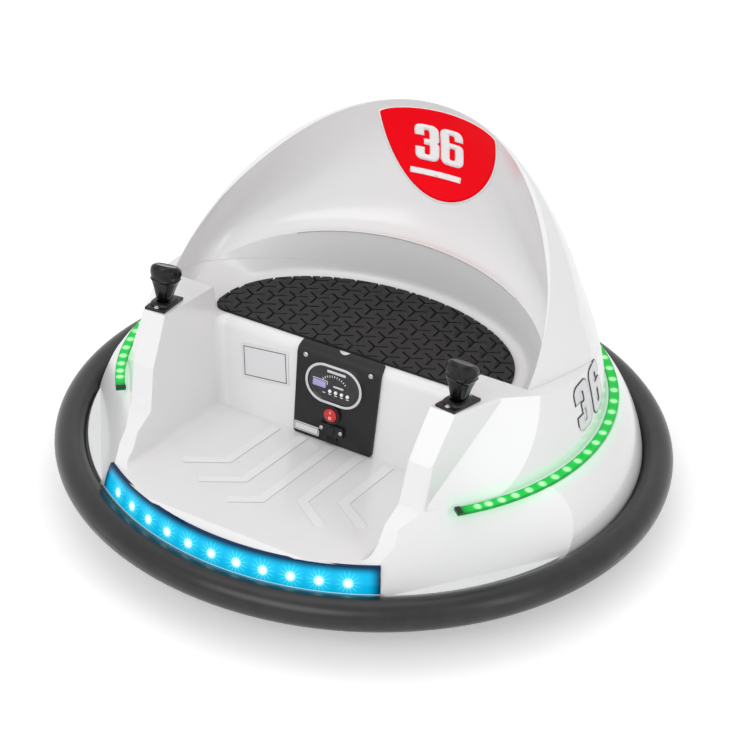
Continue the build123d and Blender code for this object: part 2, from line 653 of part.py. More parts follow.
def stick_plate():
    """The left stick's plate, with the housing that holds its pivot under the armrest."""
    plate = Pos(0, 0, PLATE_T / 2) * Box(PLATE_W, PLATE_L, PLATE_T)
    lip = Pos(0, 0, PLATE_T) * extrude(
        RectangleRounded(SLOT_W + 2 * COLLAR_RIM, SLOT_L + 2 * COLLAR_RIM, COLLAR_RIM), COLLAR_H)
    housing = Pos(0, 0, -HOUSING_D / 2) * Box(HOUSING_W, HOUSING_L, HOUSING_D)
    body = plate + lip + housing
    slot = SlotOverall(SLOT_L, SLOT_W, rotation=90)
    body -= Pos(0, 0, -OVER) * extrude(slot, PLATE_T + COLLAR_H + 2 * OVER)
    room_w, room_l = HOUSING_W - 2 * HOUSING_WALL, HOUSING_L - 2 * HOUSING_WALL
    body -= Pos(0, 0, -HOUSING_D / 2 - OVER) * Box(room_w, room_l, HOUSING_D + 2 * OVER)
    body -= Pos(0, 0, -PIVOT_DEPTH) * across_rod(PIVOT_R + RUN, HOUSING_W * 2)
    return STICK_PLANE * body


def joystick():
    """The left driving stick: knob, shaft and pivot pin."""
    sections = [Pos(0, 0, KNOB_FOOT + share * KNOB_H) * Ellipse(across, along)
                for share, across, along in KNOB]
    stick = loft(sections, ruled=True)
    foot, top = -PIVOT_DEPTH - PIVOT_R - STICK_FOOT, KNOB_FOOT + OVER
    stick += Pos(0, 0, (top + foot) / 2) * Cylinder(STICK_R, top - foot)
    stick += Pos(0, 0, -PIVOT_DEPTH) * across_rod(PIVOT_R, HOUSING_W)
    return STICK_PLANE * stick


WHEEL_SIDE_IN = WHEEL_X - WHEEL_W / 2     # the wheel's two sides
WHEEL_SIDE_OUT = WHEEL_X + WHEEL_W / 2
GEARBOX_OUT = WHEEL_SIDE_IN - GEARBOX_GAP
BRACKET_X = WHEEL_SIDE_OUT + BRACKET_GAP
PAN_TOP = PAN_BOTTOM + PAN_WALL


def rod_between(radius, start, end):
    """A cylinder on the wheel's axis, from one x to another."""
    return Pos((start + end) / 2, 0, WHEEL_R) * across_rod(radius, end - start)


def gearbox():
    """The left gearbox with its motor, standing on the pan and carrying the axle."""
    box = Pos(GEARBOX_OUT - GEARBOX_L / 2, 0, (PAN_TOP + GEARBOX_TOP) / 2) * Box(
        GEARBOX_L, 2 * GEARBOX_HALF_Y, GEARBOX_TOP - PAN_TOP)
    box = fillet(box.edges().filter_by(Axis.X), GEARBOX_EDGE_R)
    motor = Pos(GEARBOX_OUT - GEARBOX_L - MOTOR_L / 2, 0, PAN_TOP + MOTOR_R + MOTOR_LIFT)
    box += motor * across_rod(MOTOR_R, MOTOR_L)
    box += rod_between(BOSS_R, GEARBOX_OUT, WHEEL_SIDE_IN - END_PLAY)
    return box - rod_between(AXLE_R + RUN, GEARBOX_OUT - AXLE_IN, WHEEL_SIDE_IN)


def drive_axle():
    """The left drive wheel's axle, from the gearbox to the bracket."""
    return rod_between(AXLE_R, GEARBOX_OUT - AXLE_IN, BRACKET_X + BRACKET_T + AXLE_OUT)


def axle_bracket():
    """The bracket on the pan that carries the left axle's outer end."""
    top = WHEEL_R + BRACKET_OVER
    plate = Pos(BRACKET_X + BRACKET_T / 2, 0, (PAN_TOP + top) / 2) * Box(
        BRACKET_T, 2 * BRACKET_HALF_Y, top - PAN_TOP)
    foot = Pos(BRACKET_X + BRACKET_FOOT / 2, 0, PAN_TOP + BRACKET_FOOT_T / 2) * Box(
        BRACKET_FOOT, 2 * BRACKET_HALF_Y, BRACKET_FOOT_T)
    boss = rod_between(BRACKET_BOSS_R, WHEEL_SIDE_OUT + END_PLAY, BRACKET_X)
    return plate + foot + boss - rod_between(AXLE_R + RUN, WHEEL_SIDE_OUT, BRACKET_X + BRACKET_FOOT)


def drive_tyre():
    """The left drive wheel's tyre."""
    tyre = across_rod(WHEEL_R, WHEEL_W)
    tyre = fillet(tyre.edges().filter_by(GeomType.CIRCLE), TYRE_EDGE_R)
    tyre -= across_rod(WHEEL_R - TYRE_DEPTH, WHEEL_W + 2 * OVER)
    return Pos(WHEEL_X, 0, WHEEL_R) * tyre


def drive_hub():
    """The left drive wheel's plastic hub, dished on both sides."""
    rim = WHEEL_R - TYRE_DEPTH - HUB_FIT
    hub = across_rod(rim, WHEEL_W)
    dish = across_rod(rim - HUB_RIM, 2 * HUB_DISH) - across_rod(BOSS_R, 2 * HUB_DISH + OVER)
    for end in (-1, 1):
        hub -= Pos(end * WHEEL_W / 2, 0, 0) * dish
    hub -= across_rod(AXLE_R + RUN, WHEEL_W + 2 * OVER)
    return Pos(WHEEL_X, 0, WHEEL_R) * hub


def caster_plate():
    """A caster's fixed plate and bearing cup, under the pocket's roof."""
    plate = Pos(0, 0, CASTER_TOP - CASTER_PLATE_T / 2) * Box(
        CASTER_PLATE, CASTER_PLATE, CASTER_PLATE_T)
    plate += Pos(0, 0, CASTER_TOP - CASTER_PLATE_T - CUP_H / 2) * Cylinder(CUP_R, CUP_H)
    bore = CUP_H + CASTER_PLATE_T
    return plate - Pos(0, 0, CASTER_TOP - OVER - bore / 2) * Cylinder(KINGPIN_R + RUN, bore)


def caster_fork():
    """A caster's turning fork: crown, kingpin and two legs that trail to the rear."""
    crown_top = CASTER_TOP - CASTER_PLATE_T - CUP_H - SWIVEL_GAP
    inner = CASTER_W / 2 + LEG_GAP
    fork = Pos(0, 0, crown_top - CROWN_T / 2) * Box(2 * (inner + LEG_T), CROWN_L, CROWN_T)
    pin_h = CUP_H + SWIVEL_GAP + OVER
    fork += Pos(0, 0, crown_top + pin_h / 2) * Cylinder(KINGPIN_R, pin_h)
    rear = CASTER_TRAIL + LEG_ROUND
    leg = face_of([(-CROWN_L / 2, crown_top), (CROWN_L / 2, crown_top),
                   (rear, CASTER_R + LEG_ROUND / 2), (rear, CASTER_R - LEG_ROUND / 2),
                   (rear - LEG_ROUND / 2, CASTER_R - LEG_ROUND),
                   (CASTER_TRAIL - LEG_ROUND, CASTER_R - LEG_ROUND)])
    for start in (inner, -inner - LEG_T):
        side = Plane(origin=(start, 0, 0), x_dir=(0, 1, 0), z_dir=(1, 0, 0))
        fork += side * extrude(leg, LEG_T)
    return fork - Pos(0, CASTER_TRAIL, CASTER_R) * across_rod(PIN_R + RUN, CASTER_PLATE)


def caster_axle():
    """A caster wheel's pin with its two heads."""
    out = CASTER_W / 2 + LEG_GAP + LEG_T + SWIVEL_GAP
    pin = across_rod(PIN_R, 2 * out + PIN_HEAD_T)
    for end in (-1, 1):
        pin += Pos(end * (out + PIN_HEAD_T / 2), 0, 0) * across_rod(PIN_R + PIN_HEAD, PIN_HEAD_T)
    return Pos(0, CASTER_TRAIL, CASTER_R) * pin


def caster_wheel():
    wheel = across_rod(CASTER_R, CASTER_W)
    wheel = fillet(wheel.edges().filter_by(GeomType.CIRCLE), CASTER_EDGE_R)
    dish = across_rod(CASTER_R - CASTER_RIM, 2 * CASTER_DISH)
    dish -= across_rod(PIN_R + CASTER_BOSS, 2 * CASTER_DISH + OVER)
    for end in (-1, 1):
        wheel -= Pos(end * CASTER_W / 2, 0, 0) * dish
    wheel -= across_rod(PIN_R + RUN, CASTER_W + 2 * OVER)
    return Pos(0, CASTER_TRAIL, CASTER_R) * wheel


def battery_block():
    long, deep, tall = BATTERY_SIZE
    return Pos(0, BATTERY_Y, PAN_TOP + tall / 2) * Box(long, deep, tall)


SINGLE = (
    ("bumper_ring", bumper_ring),
    ("lower_body", lower_body),
    ("backrest_hood", backrest_hood),
    ("base_pan", base_pan),
    ("seat_pad", seat_pad),
    ("control_panel", control_panel),
    ("player_bezel", player_bezel),
    ("player_face", player_face),
    ("rocker_bezel", rocker_bezel),
    ("rocker_switch", rocker_switch),
    ("socket_cover", socket_cover),
    ("label_plate", label_plate),
    ("tag_plate", tag_plate),
    ("front_lens", front_lens),
    ("battery_block", battery_block),
)
PAIRS = (
    ("stick_plate", stick_plate),
    ("joystick", joystick),
    ("gearbox", gearbox),
    ("drive_axle", drive_axle),
    ("axle_bracket", axle_bracket),
    ("drive_hub", drive_hub),
    ("drive_tyre", drive_tyre),
)
CASTER_PARTS = (
    ("caster_plate", caster_plate),
    ("caster_fork", caster_fork),
    ("caster_axle", caster_axle),
    ("caster_wheel", caster_wheel),
)

for name, make in SINGLE:
    export_step(make(), f"parts/{name}.step")
for name, make in PAIRS:
    left = make()
    for word, side in SIDES:
        export_step(mirrored(left, side), f"parts/{name}_{word}.step")
for word, side in SIDES:
    export_step(strip_band(side, PROUD, STRIP_T - PROUD, 0.0), f"parts/light_strip_{word}.step")
for name, make in CASTER_PARTS:
    piece = make()
    for word, y in (("front", -CASTER_Y), ("rear", CASTER_Y)):
        export_step(Pos(0, y, 0) * piece, f"parts/{name}_{word}.step")
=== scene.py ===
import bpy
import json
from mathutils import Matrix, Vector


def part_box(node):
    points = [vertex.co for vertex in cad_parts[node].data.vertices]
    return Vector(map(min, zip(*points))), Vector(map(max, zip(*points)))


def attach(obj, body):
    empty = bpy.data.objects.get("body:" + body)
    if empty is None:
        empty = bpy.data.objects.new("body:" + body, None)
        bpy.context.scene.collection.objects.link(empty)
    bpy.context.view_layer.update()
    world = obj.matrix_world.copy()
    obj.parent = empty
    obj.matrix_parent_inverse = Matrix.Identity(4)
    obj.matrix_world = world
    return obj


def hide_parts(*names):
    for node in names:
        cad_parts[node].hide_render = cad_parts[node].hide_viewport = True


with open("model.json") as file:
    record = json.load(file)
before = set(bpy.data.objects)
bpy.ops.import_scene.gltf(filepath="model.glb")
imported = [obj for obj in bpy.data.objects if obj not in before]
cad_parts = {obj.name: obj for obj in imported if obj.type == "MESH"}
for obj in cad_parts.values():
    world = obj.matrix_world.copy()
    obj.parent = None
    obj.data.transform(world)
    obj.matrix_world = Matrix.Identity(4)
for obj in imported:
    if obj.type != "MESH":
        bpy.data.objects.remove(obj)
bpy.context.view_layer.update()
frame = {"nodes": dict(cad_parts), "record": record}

import json
import math

import bmesh
import bpy
from mathutils import Matrix, Vector
from mathutils.bvhtree import BVHTree

# Looks of a child's round ride-on bumper car. Metres, +Z up, the front is -Y.
# Sizes come from the frame's nodes; those that the frame doesn't hold are named beside their piece.

NODES = frame["nodes"]
MM = 0.001


# ---- shader building blocks ----

def link(tree, source, target):
    tree.links.new(source, target)


def add_node(tree, kind, **settings):
    """A new node with its settings."""
    node = tree.nodes.new(kind)
    for name, value in settings.items():
        setattr(node, name, value)
    return node


def feed(tree, socket, value):
    """A number, colour or vector is set on the socket, and an output is linked to it."""
    if isinstance(value, bpy.types.NodeSocket):
        tree.links.new(value, socket)
    else:
        socket.default_value = value


def math_node(tree, operation, *values, clamp=False):
    """The result of one sum on numbers or outputs."""
    node = add_node(tree, "ShaderNodeMath", operation=operation, use_clamp=clamp)
    for socket, value in zip(node.inputs, values):
        feed(tree, socket, value)
    return node.outputs[0]


def ramp(tree, value, low, high, out_low=0.0, out_high=1.0):
    """Maps low..high smoothly to out_low..out_high, held at both ends."""
    node = add_node(tree, "ShaderNodeMapRange", interpolation_type="SMOOTHSTEP")
    for name, amount in (("Value", value), ("From Min", low), ("From Max", high),
                         ("To Min", out_low), ("To Max", out_high)):
        feed(tree, node.inputs[name], amount)
    return node.outputs["Result"]


def mix_colour(tree, share, first, second):
    """The first colour at share 0 and the second at 1."""
    node = add_node(tree, "ShaderNodeMix", data_type="RGBA")
    feed(tree, node.inputs[0], share)
    feed(tree, node.inputs[6], first)
    feed(tree, node.inputs[7], second)
    return node.outputs[2]


def noise(tree, place, scale, detail=2.0, roughness=0.5):
    node = add_node(tree, "ShaderNodeTexNoise")
    for name, amount in (("Vector", place), ("Scale", scale), ("Detail", detail),
                         ("Roughness", roughness)):
        feed(tree, node.inputs[name], amount)
    return node.outputs["Fac"]


def place_parts(tree):
    """Object coordinates, and their three parts."""
    place = tree.nodes.new("ShaderNodeTexCoord").outputs["Object"]
    parts = add_node(tree, "ShaderNodeSeparateXYZ")
    feed(tree, parts.inputs[0], place)
    return place, parts.outputs


def distance(tree, first, second):
    """Distance from zero in a plane, from two parts."""
    return math_node(tree, "SQRT", math_node(
        tree, "ADD", math_node(tree, "MULTIPLY", first, first),
        math_node(tree, "MULTIPLY", second, second)))


def turn_from_front(tree, parts):
    """Angle around the car from its front, the same on both sides."""
    return math_node(tree, "ARCTAN2", math_node(tree, "ABSOLUTE", parts["X"]),
                     math_node(tree, "MULTIPLY", parts["Y"], -1.0))


def new_group(name, inputs, outputs):
    """An empty shader group; inputs and outputs are rows of name, socket type and default."""
    tree = bpy.data.node_groups.new(name, "ShaderNodeTree")
    for label, kind, default in inputs:
        socket = tree.interface.new_socket(label, in_out="INPUT", socket_type="NodeSocket" + kind)
        socket.default_value = default
    for label, kind in outputs:
        tree.interface.new_socket(label, in_out="OUTPUT", socket_type="NodeSocket" + kind)
    return tree, tree.nodes.new("NodeGroupInput"), tree.nodes.new("NodeGroupOutput")


def place_group(tree, group, **values):
    node = add_node(tree, "ShaderNodeGroup", node_tree=group)
    for name, value in values.items():
        feed(tree, node.inputs[name.replace("_", " ")], value)
    return node


DUST_TOP, DUST_FULL = 0.16, 0.03      # heights where dust begins and where it is full
DUST_COLOUR = (0.42, 0.40, 0.37, 1)
GRAIN_DEPTH = 0.1 * MM


def moulded_group():
    """Moulded plastic or rubber: cloudy colour, handling marks, dust low down and fine grain."""
    tree, given, out = new_group(
        "moulded_surface",
        (("Colour", "Color", (0.5, 0.5, 0.5, 1)), ("Cloud", "Float", 0.03), ("Dust", "Float", 0.05),
         ("Roughness", "Float", 0.4), ("Smears", "Float", 0.1), ("Grain Scale", "Float", 900.0),
         ("Grain", "Float", 0.05), ("Edge", "Float", 0.0005)),
        (("Colour", "Color"), ("Roughness", "Float"), ("Normal", "Vector")))
    place, parts = place_parts(tree)
    cloud = noise(tree, place, 9.0, 3.0)
    smear = noise(tree, place, 34.0, 4.0, 0.65)
    fine = noise(tree, place, given.outputs["Grain Scale"], 1.0)
    low = ramp(tree, parts["Z"], DUST_TOP, DUST_FULL)
    patchy = math_node(tree, "MULTIPLY", low, ramp(tree, smear, 0.35, 0.7))
    dust = math_node(tree, "MULTIPLY", patchy, given.outputs["Dust"])
    shade = math_node(tree, "MULTIPLY_ADD", math_node(tree, "SUBTRACT", cloud, 0.5),
                      given.outputs["Cloud"], 1.0)
    vary = add_node(tree, "ShaderNodeVectorMath", operation="SCALE")
    feed(tree, vary.inputs[0], given.outputs["Colour"])
    feed(tree, vary.inputs["Scale"], shade)
    colour = mix_colour(tree, dust, vary.outputs[0], DUST_COLOUR)
    rough = math_node(tree, "MULTIPLY_ADD", math_node(tree, "SUBTRACT", smear, 0.5),
                      given.outputs["Smears"], given.outputs["Roughness"], clamp=True)
    soft_edge = add_node(tree, "ShaderNodeBevel", samples=6)
    feed(tree, soft_edge.inputs["Radius"], given.outputs["Edge"])
    bump = add_node(tree, "ShaderNodeBump")
    feed(tree, bump.inputs["Normal"], soft_edge.outputs[0])
    bump.inputs["Distance"].default_value = GRAIN_DEPTH
    feed(tree, bump.inputs["Strength"], given.outputs["Grain"])
    feed(tree, bump.inputs["Height"], fine)
    link(tree, colour, out.inputs["Colour"])
    link(tree, rough, out.inputs["Roughness"])
    link(tree, bump.outputs[0], out.inputs["Normal"])
    return tree


GLINT_RAYS, GLINT_TURN = 14, 0.6              # painted glint rays of a lamp (a camera's star glare), and their turn from lamp to lamp


def lamp_row_group():
    """Two mirrored rows of small lamps around the car's axis, with light around each and painted glint
    rays, a camera's star glare, around each.

    The spacing grows along the row where Even is below 1.
    """
    tree, given, out = new_group(
        "lamp_row",
        (("First Angle", "Float", 0.0), ("Pitch", "Float", 0.1), ("Even", "Float", 1.0),
         ("Last", "Float", 5.0), ("Radius", "Float", 0.3), ("Across", "Float", 0.0),
         ("Core", "Float", 0.003), ("Halo", "Float", 0.01)),
        (("Core", "Float"), ("Halo", "Float"), ("Rays", "Float")))
    _, parts = place_parts(tree)
    from_lamp = math_node(tree, "SUBTRACT", turn_from_front(tree, parts), given.outputs["First Angle"])
    from_first = math_node(tree, "MAXIMUM", from_lamp, 0.0)
    before = math_node(tree, "MINIMUM", from_lamp, 0.0)
    even = given.outputs["Even"]
    pitches = math_node(tree, "DIVIDE", from_first, given.outputs["Pitch"])
    steps = math_node(tree, "POWER", pitches, even)
    lamp = math_node(tree, "MINIMUM", math_node(tree, "ROUND", steps), given.outputs["Last"])
    uneven = math_node(tree, "SUBTRACT", 1.0, even)
    stretch = math_node(tree, "DIVIDE", math_node(
        tree, "POWER", math_node(tree, "MAXIMUM", pitches, 0.5), uneven), even)
    off = math_node(tree, "MULTIPLY", math_node(tree, "SUBTRACT", steps, lamp),
                    math_node(tree, "MULTIPLY", given.outputs["Pitch"], stretch))
    along = math_node(tree, "MULTIPLY", math_node(tree, "ADD", off, before), given.outputs["Radius"])
    across = given.outputs["Across"]
    far = distance(tree, along, across)
    core = ramp(tree, far, given.outputs["Core"], math_node(tree, "MULTIPLY", given.outputs["Core"], 0.25))
    halo = math_node(tree, "EXPONENT", math_node(
        tree, "MULTIPLY", math_node(tree, "DIVIDE", far, given.outputs["Halo"]), -1.0))
    angle = math_node(tree, "MULTIPLY_ADD", lamp, GLINT_TURN, math_node(tree, "ARCTAN2", across, along))
    spokes = math_node(tree, "ABSOLUTE", math_node(
        tree, "COSINE", math_node(tree, "MULTIPLY", angle, GLINT_RAYS / 2)))
    narrow = math_node(tree, "MULTIPLY_ADD", far, 6000.0, 14.0)     # painted glint rays thin outwards
    rays = math_node(tree, "MULTIPLY", math_node(tree, "POWER", spokes, narrow),
                     ramp(tree, far, math_node(tree, "MULTIPLY", given.outputs["Halo"], 2.0), 0.0))
    link(tree, core, out.inputs["Core"])
    link(tree, halo, out.inputs["Halo"])
    link(tree, rays, out.inputs["Rays"])
    return tree


MOULDED = moulded_group()
LAMP_ROW = lamp_row_group()


def new_material(name, **sockets):
    """A material with one Principled shader, and constants set on that shader's sockets."""
    material = bpy.data.materials.new(name)
    material.use_nodes = True
    shader = material.node_tree.nodes["Principled BSDF"]
    for label, value in sockets.items():
        shader.inputs[label.replace("_", " ")].default_value = value
    return material, material.node_tree, shader


def moulded(name, colour, rough, cloud=0.04, dust=0.1, smears=0.12, grain=0.05, grain_scale=900.0,
            edge=0.4, **sockets):
    """A moulded finish; edge is the radius of its soft edges in mm."""
    material, tree, shader = new_material(name, **sockets)
    surface = place_group(tree, MOULDED, Colour=(*colour, 1), Cloud=cloud, Dust=dust, Roughness=rough,
                          Smears=smears, Grain_Scale=grain_scale, Grain=grain, Edge=edge * MM)
    link(tree, surface.outputs["Colour"], shader.inputs["Base Color"])
    link(tree, surface.outputs["Roughness"], shader.inputs["Roughness"])
    link(tree, surface.outputs["Normal"], shader.inputs["Normal"])
    return material


STRIP_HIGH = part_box("light_strip_left")[1]
LENS_LOW, LENS_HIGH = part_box("front_lens")


def lamp_material(name, colours, across_of, half, row_values, ends, strength, rays=0.0, line_at=None):
    """A clear cover over a row of lamps.

    The colours are those of edge, field, halo and lamp. The cover is dark past its half width
    and at its ends, given as angles from the front where it is dark and where it is clear.
    """
    material, tree, shader = new_material(name, Coat_Weight=0.05, Coat_Roughness=0.06,
                                          Specular_IOR_Level=0.12)
    place, parts = place_parts(tree)
    across = across_of(tree, parts)
    row = place_group(tree, LAMP_ROW, Across=across, **row_values)
    edge, field, glow, lamp = [(*colour, 1) for colour in colours]
    inner = ramp(tree, math_node(tree, "ABSOLUTE", across), half, half * 0.45)
    turn = turn_from_front(tree, parts)
    for dark_deg, clear_deg in ends:
        share = ramp(tree, turn, math.radians(dark_deg), math.radians(clear_deg))
        inner = math_node(tree, "MULTIPLY", inner, share)
    cover = mix_colour(tree, inner, edge, field)
    cover = mix_colour(tree, math_node(tree, "MULTIPLY", row.outputs["Halo"], inner), cover, glow)
    if line_at is not None:
        off = math_node(tree, "ABSOLUTE", math_node(tree, "SUBTRACT", across, line_at * half))
        cover = mix_colour(tree, ramp(tree, off, 0.7 * MM, 0.2 * MM, 0.0, 0.45), cover, lamp)
    # painted glints: the star rays of a camera's glare, added to the cover's colour and emission
    lit = math_node(tree, "ADD", math_node(tree, "MULTIPLY", row.outputs["Rays"], rays),
                    row.outputs["Core"], clamp=True)
    colour = mix_colour(tree, lit, cover, lamp)
    link(tree, colour, shader.inputs["Base Color"])
    link(tree, colour, shader.inputs["Emission Color"])
    link(tree, ramp(tree, noise(tree, place, 160.0, 2.0), 0.2, 0.8, 0.08, 0.2), shader.inputs["Roughness"])
    shader.inputs["Emission Strength"].default_value = strength
    return material


STRIP_MIDDLE = STRIP_HIGH.x - 5.5 * MM
STRIP_TOP = STRIP_HIGH.z
LENS_HEIGHT = LENS_HIGH.z - LENS_LOW.z
LENS_MIDDLE = LENS_LOW.z + 0.42 * LENS_HEIGHT
STRIP_DEG = (-41.6, 70.0)             # the light strips, from the side towards the rear
LENS_ENDS = ((32.8, 30.2),)           # dark and clear, in degrees from the front
STRIP_ENDS = ((90 - 41.6, 90 - 38.4), (90 + 70.2, 90 + 67.5))
LENS_LAMPS = {"Pitch": math.radians(5.33), "Last": 5.0, "Radius": 0.3135, "Core": 6.4 * MM,
              "Halo": 7.5 * MM}
STRIP_LAMPS = {"First_Angle": math.radians(90 - 36.6), "Pitch": math.radians(2.525), "Even": 0.85,
               "Last": 23.0, "Radius": 0.283, "Core": 6.0 * MM, "Halo": 4.6 * MM}


def off_strip(tree, parts):
    return math_node(tree, "SUBTRACT", distance(tree, parts["X"], parts["Y"]), STRIP_MIDDLE)


def above_lens_middle(tree, parts):
    return math_node(tree, "SUBTRACT", parts["Z"], LENS_MIDDLE)


GLOW_NEAR, GLOW_FAR, GLOW_FADE = 8.0 * MM, 22.0 * MM, math.radians(3)


def body_with_painted_glow():
    """The white moulding, with the strips' green light painted into its colour beside them, and a faint
    painted green glow as emission.
    """
    material = moulded("white_gloss_plastic", (0.82, 0.82, 0.825), 0.24, cloud=0.015, dust=0.03,
                       smears=0.03, grain=0.015, grain_scale=420.0, edge=1.2, Coat_Weight=0.3,
                       Coat_Roughness=0.09)
    tree = material.node_tree
    shader = tree.nodes["Principled BSDF"]
    _, parts = place_parts(tree)
    far = distance(tree, off_strip(tree, parts), math_node(tree, "SUBTRACT", parts["Z"], STRIP_TOP))
    turn = math_node(tree, "ARCTAN2", parts["Y"], math_node(tree, "ABSOLUTE", parts["X"]))
    low, high = [math.radians(deg) for deg in STRIP_DEG]
    window = math_node(tree, "MULTIPLY", ramp(tree, turn, low - GLOW_FADE, low),
                       ramp(tree, turn, high + GLOW_FADE, high))
    # painted light: a green pool from the strips, mixed into base colour and emission
    glow = math_node(tree, "MULTIPLY", ramp(tree, far, GLOW_FAR, GLOW_NEAR), window)
    plain = shader.inputs["Base Color"].links[0].from_socket
    share = math_node(tree, "MULTIPLY", glow, 0.5)
    link(tree, mix_colour(tree, share, plain, (0.62, 0.92, 0.72, 1)), shader.inputs["Base Color"])
    link(tree, mix_colour(tree, glow, (0, 0, 0, 1), (0.25, 0.9, 0.45, 1)), shader.inputs["Emission Color"])
    shader.inputs["Emission Strength"].default_value = 0.06
    return material


GROOVE_DARK, GROOVE_CLEAR = 1.1 * MM, 0.3 * MM      # below the mat's top, where the painted groove shade is full and where it is gone


def shade_painted_below(name, *values, **named):
    """A mat's finish, with shade painted near black into its grooves and at its foot."""
    material = moulded(name, *values, **named)
    tree = material.node_tree
    shader = tree.nodes["Principled BSDF"]
    _, parts = place_parts(tree)
    plain = shader.inputs["Base Color"].links[0].from_socket
    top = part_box("seat_pad")[1].z
    upper = ramp(tree, parts["Z"], top - GROOVE_DARK, top - GROOVE_CLEAR)
    link(tree, mix_colour(tree, upper, (0.001, 0.001, 0.001, 1), plain), shader.inputs["Base Color"])
    return material


FINISH = {
    "body_plastic": body_with_painted_glow(),
    "ring_rubber": moulded("ring_rubber", (0.006, 0.006, 0.0065), 0.30, cloud=0.08, dust=0.02, smears=0.05,
                           grain=0.06, grain_scale=1500.0, edge=1.0, Specular_IOR_Level=0.5),
    "pan_plastic": moulded("pan_plastic", (0.03, 0.03, 0.032), 0.55, cloud=0.2, dust=0.5, smears=0.2,
                           grain=0.3, grain_scale=1200.0),
    "mat_foam": shade_painted_below("mat_foam", (0.020, 0.020, 0.021), 0.66, cloud=0.2, dust=0.0, smears=0.15,
                           grain=0.5, edge=0.3, Specular_IOR_Level=0.35),
    "black_plastic": moulded("black_plastic", (0.006, 0.006, 0.0065), 0.42, cloud=0.2, dust=0.05,
                             smears=0.12, grain=0.15, grain_scale=1300.0, Specular_IOR_Level=0.4),
    "bright_trim": moulded("bright_trim", (0.78, 0.78, 0.80), 0.14, cloud=0.04, dust=0.0, smears=0.1,
                           grain=0.02, Metallic=1.0),
    "display_black": moulded("display_black", (0.008, 0.008, 0.01), 0.09, cloud=0.1, dust=0.0,
                             smears=0.08, grain=0.0, Coat_Weight=0.5),
    "switch_red": moulded("switch_red", (0.62, 0.006, 0.008), 0.16, cloud=0.1, dust=0.0, smears=0.1,
                          grain=0.02, Coat_Weight=0.5),
    "label_white": moulded("label_white", (0.74, 0.74, 0.75), 0.34, cloud=0.04, dust=0.0, smears=0.12,
                           grain=0.04),
    "battery_case": moulded("battery_case", (0.02, 0.02, 0.025), 0.5, grain=0.2),
    "knob_black": moulded("knob_black", (0.003, 0.003, 0.0035), 0.17, cloud=0.1, dust=0.0, smears=0.05,
                          grain=0.02, edge=0.4, Specular_IOR_Level=0.32),
    "gearbox_plastic": moulded("gearbox_plastic", (0.05, 0.05, 0.055), 0.5, dust=0.4, grain=0.2),
    "axle_steel": moulded("axle_steel", (0.56, 0.56, 0.57), 0.3, dust=0.3, smears=0.3, Metallic=1.0),
    "hub_plastic": moulded("hub_plastic", (0.62, 0.62, 0.63), 0.4, dust=0.5, grain=0.1),
    "tyre_rubber": moulded("tyre_rubber", (0.022, 0.022, 0.023), 0.7, cloud=0.4, dust=0.8, smears=0.2,
                           grain=0.4, grain_scale=1100.0),
    "caster_steel": moulded("caster_steel", (0.55, 0.56, 0.57), 0.34, dust=0.3, smears=0.3, grain=0.1,
                            Metallic=1.0),
    "caster_rubber": moulded("caster_rubber", (0.03, 0.03, 0.03), 0.6, dust=0.8, grain=0.3),
    "lens_blue": lamp_material(
        "lens_blue", ((0.0, 0.012, 0.045), (0.0, 0.31, 0.56), (0.02, 0.68, 0.82), (0.75, 1.0, 1.0)),
        above_lens_middle, 0.60 * LENS_HEIGHT, LENS_LAMPS, LENS_ENDS, strength=0.66, rays=0.6,
        line_at=-0.62),
    "strip_green": lamp_material(
        "strip_green", ((0.0, 0.10, 0.02), (0.002, 0.42, 0.045), (0.03, 0.62, 0.11), (0.46, 0.97, 0.46)),
        off_strip, 7.4 * MM, STRIP_LAMPS, STRIP_ENDS, strength=0.42),
}

STICKER = {
    "red": moulded("sticker_red", (1.0, 0.0, 0.008), 0.55, cloud=0.02, dust=0.0, smears=0.06,
                   grain=0.02, Specular_IOR_Level=0.1),
    "pale": moulded("sticker_white", (0.97, 0.97, 0.97), 0.45, cloud=0.02, dust=0.0, smears=0.08,
                    grain=0.02),
    "dark": moulded("sticker_black", (0.012, 0.012, 0.014), 0.3, cloud=0.05, dust=0.0, smears=0.08,
                    grain=0.02),
    "grey": moulded("sticker_grey", (0.70, 0.70, 0.72), 0.28, cloud=0.03, dust=0.0, smears=0.08,
                    grain=0.02),
    "relief": moulded("white_relief", (0.86, 0.86, 0.865), 0.26, cloud=0.015, dust=0.03, smears=0.03,
                      grain=0.015, grain_scale=420.0, edge=0.1, Coat_Weight=0.3, Coat_Roughness=0.09),
    "display": moulded("display_lit", (0.42, 0.40, 0.78), 0.15, cloud=0.6, dust=0.0, smears=0.05,
                       grain=0.0, Coat_Weight=0.5),
}

for row in frame["record"]["subparts"]:
    mesh = NODES[row["node"]].data
    mesh.materials.clear()
    mesh.materials.append(FINISH[row["material_slot"]])


# ---- meshes ----

def in_scene(name, data):
    """A new object in the scene from a mesh, a light or a camera."""
    thing = bpy.data.objects.new(name, data)
    bpy.context.scene.collection.objects.link(thing)
    return thing


def finish_piece(name, mesh, material, body="root", sharp_deg=38.0):
    """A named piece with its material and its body."""
    mesh.materials.clear()
    mesh.materials.append(material)
    mesh.polygons.foreach_set("material_index", [0] * len(mesh.polygons))
    mesh.shade_smooth()
    mesh.set_sharp_from_angle(angle=math.radians(sharp_deg))
    piece = in_scene(name, mesh)
    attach(piece, body)
    return piece


def opened(mesh):
    """A mesh as a bmesh, to be worked on."""
    bm = bmesh.new()
    bm.from_mesh(mesh)
    return bm


def mesh_of(bm):
    """The bmesh as a mesh; the bmesh is closed."""
    mesh = bpy.data.meshes.new("part")
    bm.to_mesh(mesh)
    bm.free()
    return mesh


